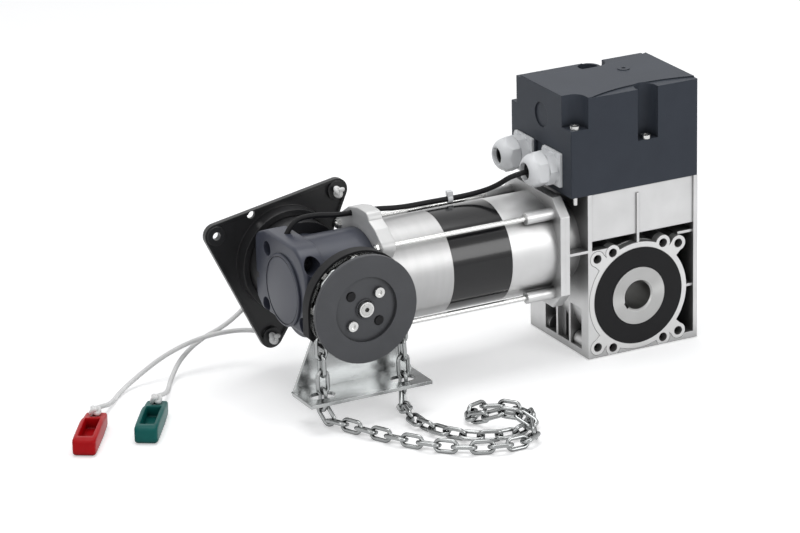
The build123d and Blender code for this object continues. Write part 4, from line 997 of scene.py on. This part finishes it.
# %% Floor
half = 9.0
low = cad_bounds[0][2]
glow_share = 0.42
floor_mesh = bpy.data.meshes.new("floor")
floor_mesh.from_pydata([(-half, -half, low), (half, -half, low), (half, half, low), (-half, half, low)],
                       [], [(0, 1, 2, 3)])
floor = bpy.data.objects.new("floor", floor_mesh)
scene.collection.objects.link(floor)
floor_paper = bpy.data.materials.new("floor_paper")
floor_paper.use_nodes = True
tree = floor_paper.node_tree
tree.nodes.remove(tree.nodes["Principled BSDF"])
paper = add(tree, "ShaderNodeBsdfDiffuse", Color=(0.86, 0.86, 0.86, 1.0))
glow = add(tree, "ShaderNodeEmission", Color=(1.0, 1.0, 1.0, 1.0))
share = tree.nodes.new("ShaderNodeMath")
share.operation = "MULTIPLY"
share.inputs[1].default_value = glow_share
both = tree.nodes.new("ShaderNodeAddShader")
tree.links.new(seen_by(tree, *white_rays), share.inputs[0])
tree.links.new(share.outputs["Value"], glow.inputs["Strength"])
tree.links.new(paper.outputs["BSDF"], both.inputs[0])
tree.links.new(glow.outputs["Emission"], both.inputs[1])
tree.links.new(both.outputs["Shader"], tree.nodes["Material Output"].inputs["Surface"])
floor_mesh.materials.append(floor_paper)
print("floor at", round(low, 4), "m")

# %% [markdown]
# The room round the floor could be a box of walls, but the world's background does the same work
# without any more mesh.

# %% Room
room = bpy.data.worlds.new("room")
scene.world = room
room.use_nodes = True
tree = room.node_tree
backdrop = tree.nodes["Background"]
backdrop.inputs["Color"].default_value = (0.62, 0.63, 0.65, 1.0)
backdrop.inputs["Strength"].default_value = 0.55
white = add(tree, "ShaderNodeBackground", Color=(1.0, 1.0, 1.0, 1.0), Strength=1.0)
choose = tree.nodes.new("ShaderNodeMixShader")
tree.links.new(seen_by(tree, *white_rays), choose.inputs["Fac"])
tree.links.new(backdrop.outputs["Background"], choose.inputs[1])
tree.links.new(white.outputs["Background"], choose.inputs[2])
tree.links.new(choose.outputs["Shader"], tree.nodes["World Output"].inputs["Surface"])
print("room", room.name)

# %% [markdown]
# The lamps are large and soft, as in a product photograph: one above, a weak and narrow one from
# the left front, and a broad one from the right front that lights the gearbox. One lamp above
# would do for the shadow, but it would leave the hand drive's end dark.

# %% Lamps
aim = Vector((-0.15, 0.05, 0.06))


def soft_lamp(name, place, size, power):
    data = bpy.data.lights.new(name, "AREA")
    data.shape = "RECTANGLE"
    data.size, data.size_y = size
    data.energy = power
    lamp = bpy.data.objects.new(name, data)
    scene.collection.objects.link(lamp)
    lamp.location = place
    lamp.rotation_euler = (aim - Vector(place)).to_track_quat("-Z", "Y").to_euler()
    print(name, power, "W")


soft_lamp("lamp_above", (-0.2, 0.3, 1.9), (1.8, 1.0), 18)
soft_lamp("lamp_left_front", (-1.9, -1.3, 1.3), (0.5, 1.2), 6)
soft_lamp("lamp_right_front", (1.0, -2.2, 1.1), (1.0, 1.2), 17)
scene.view_settings.view_transform = "Standard"
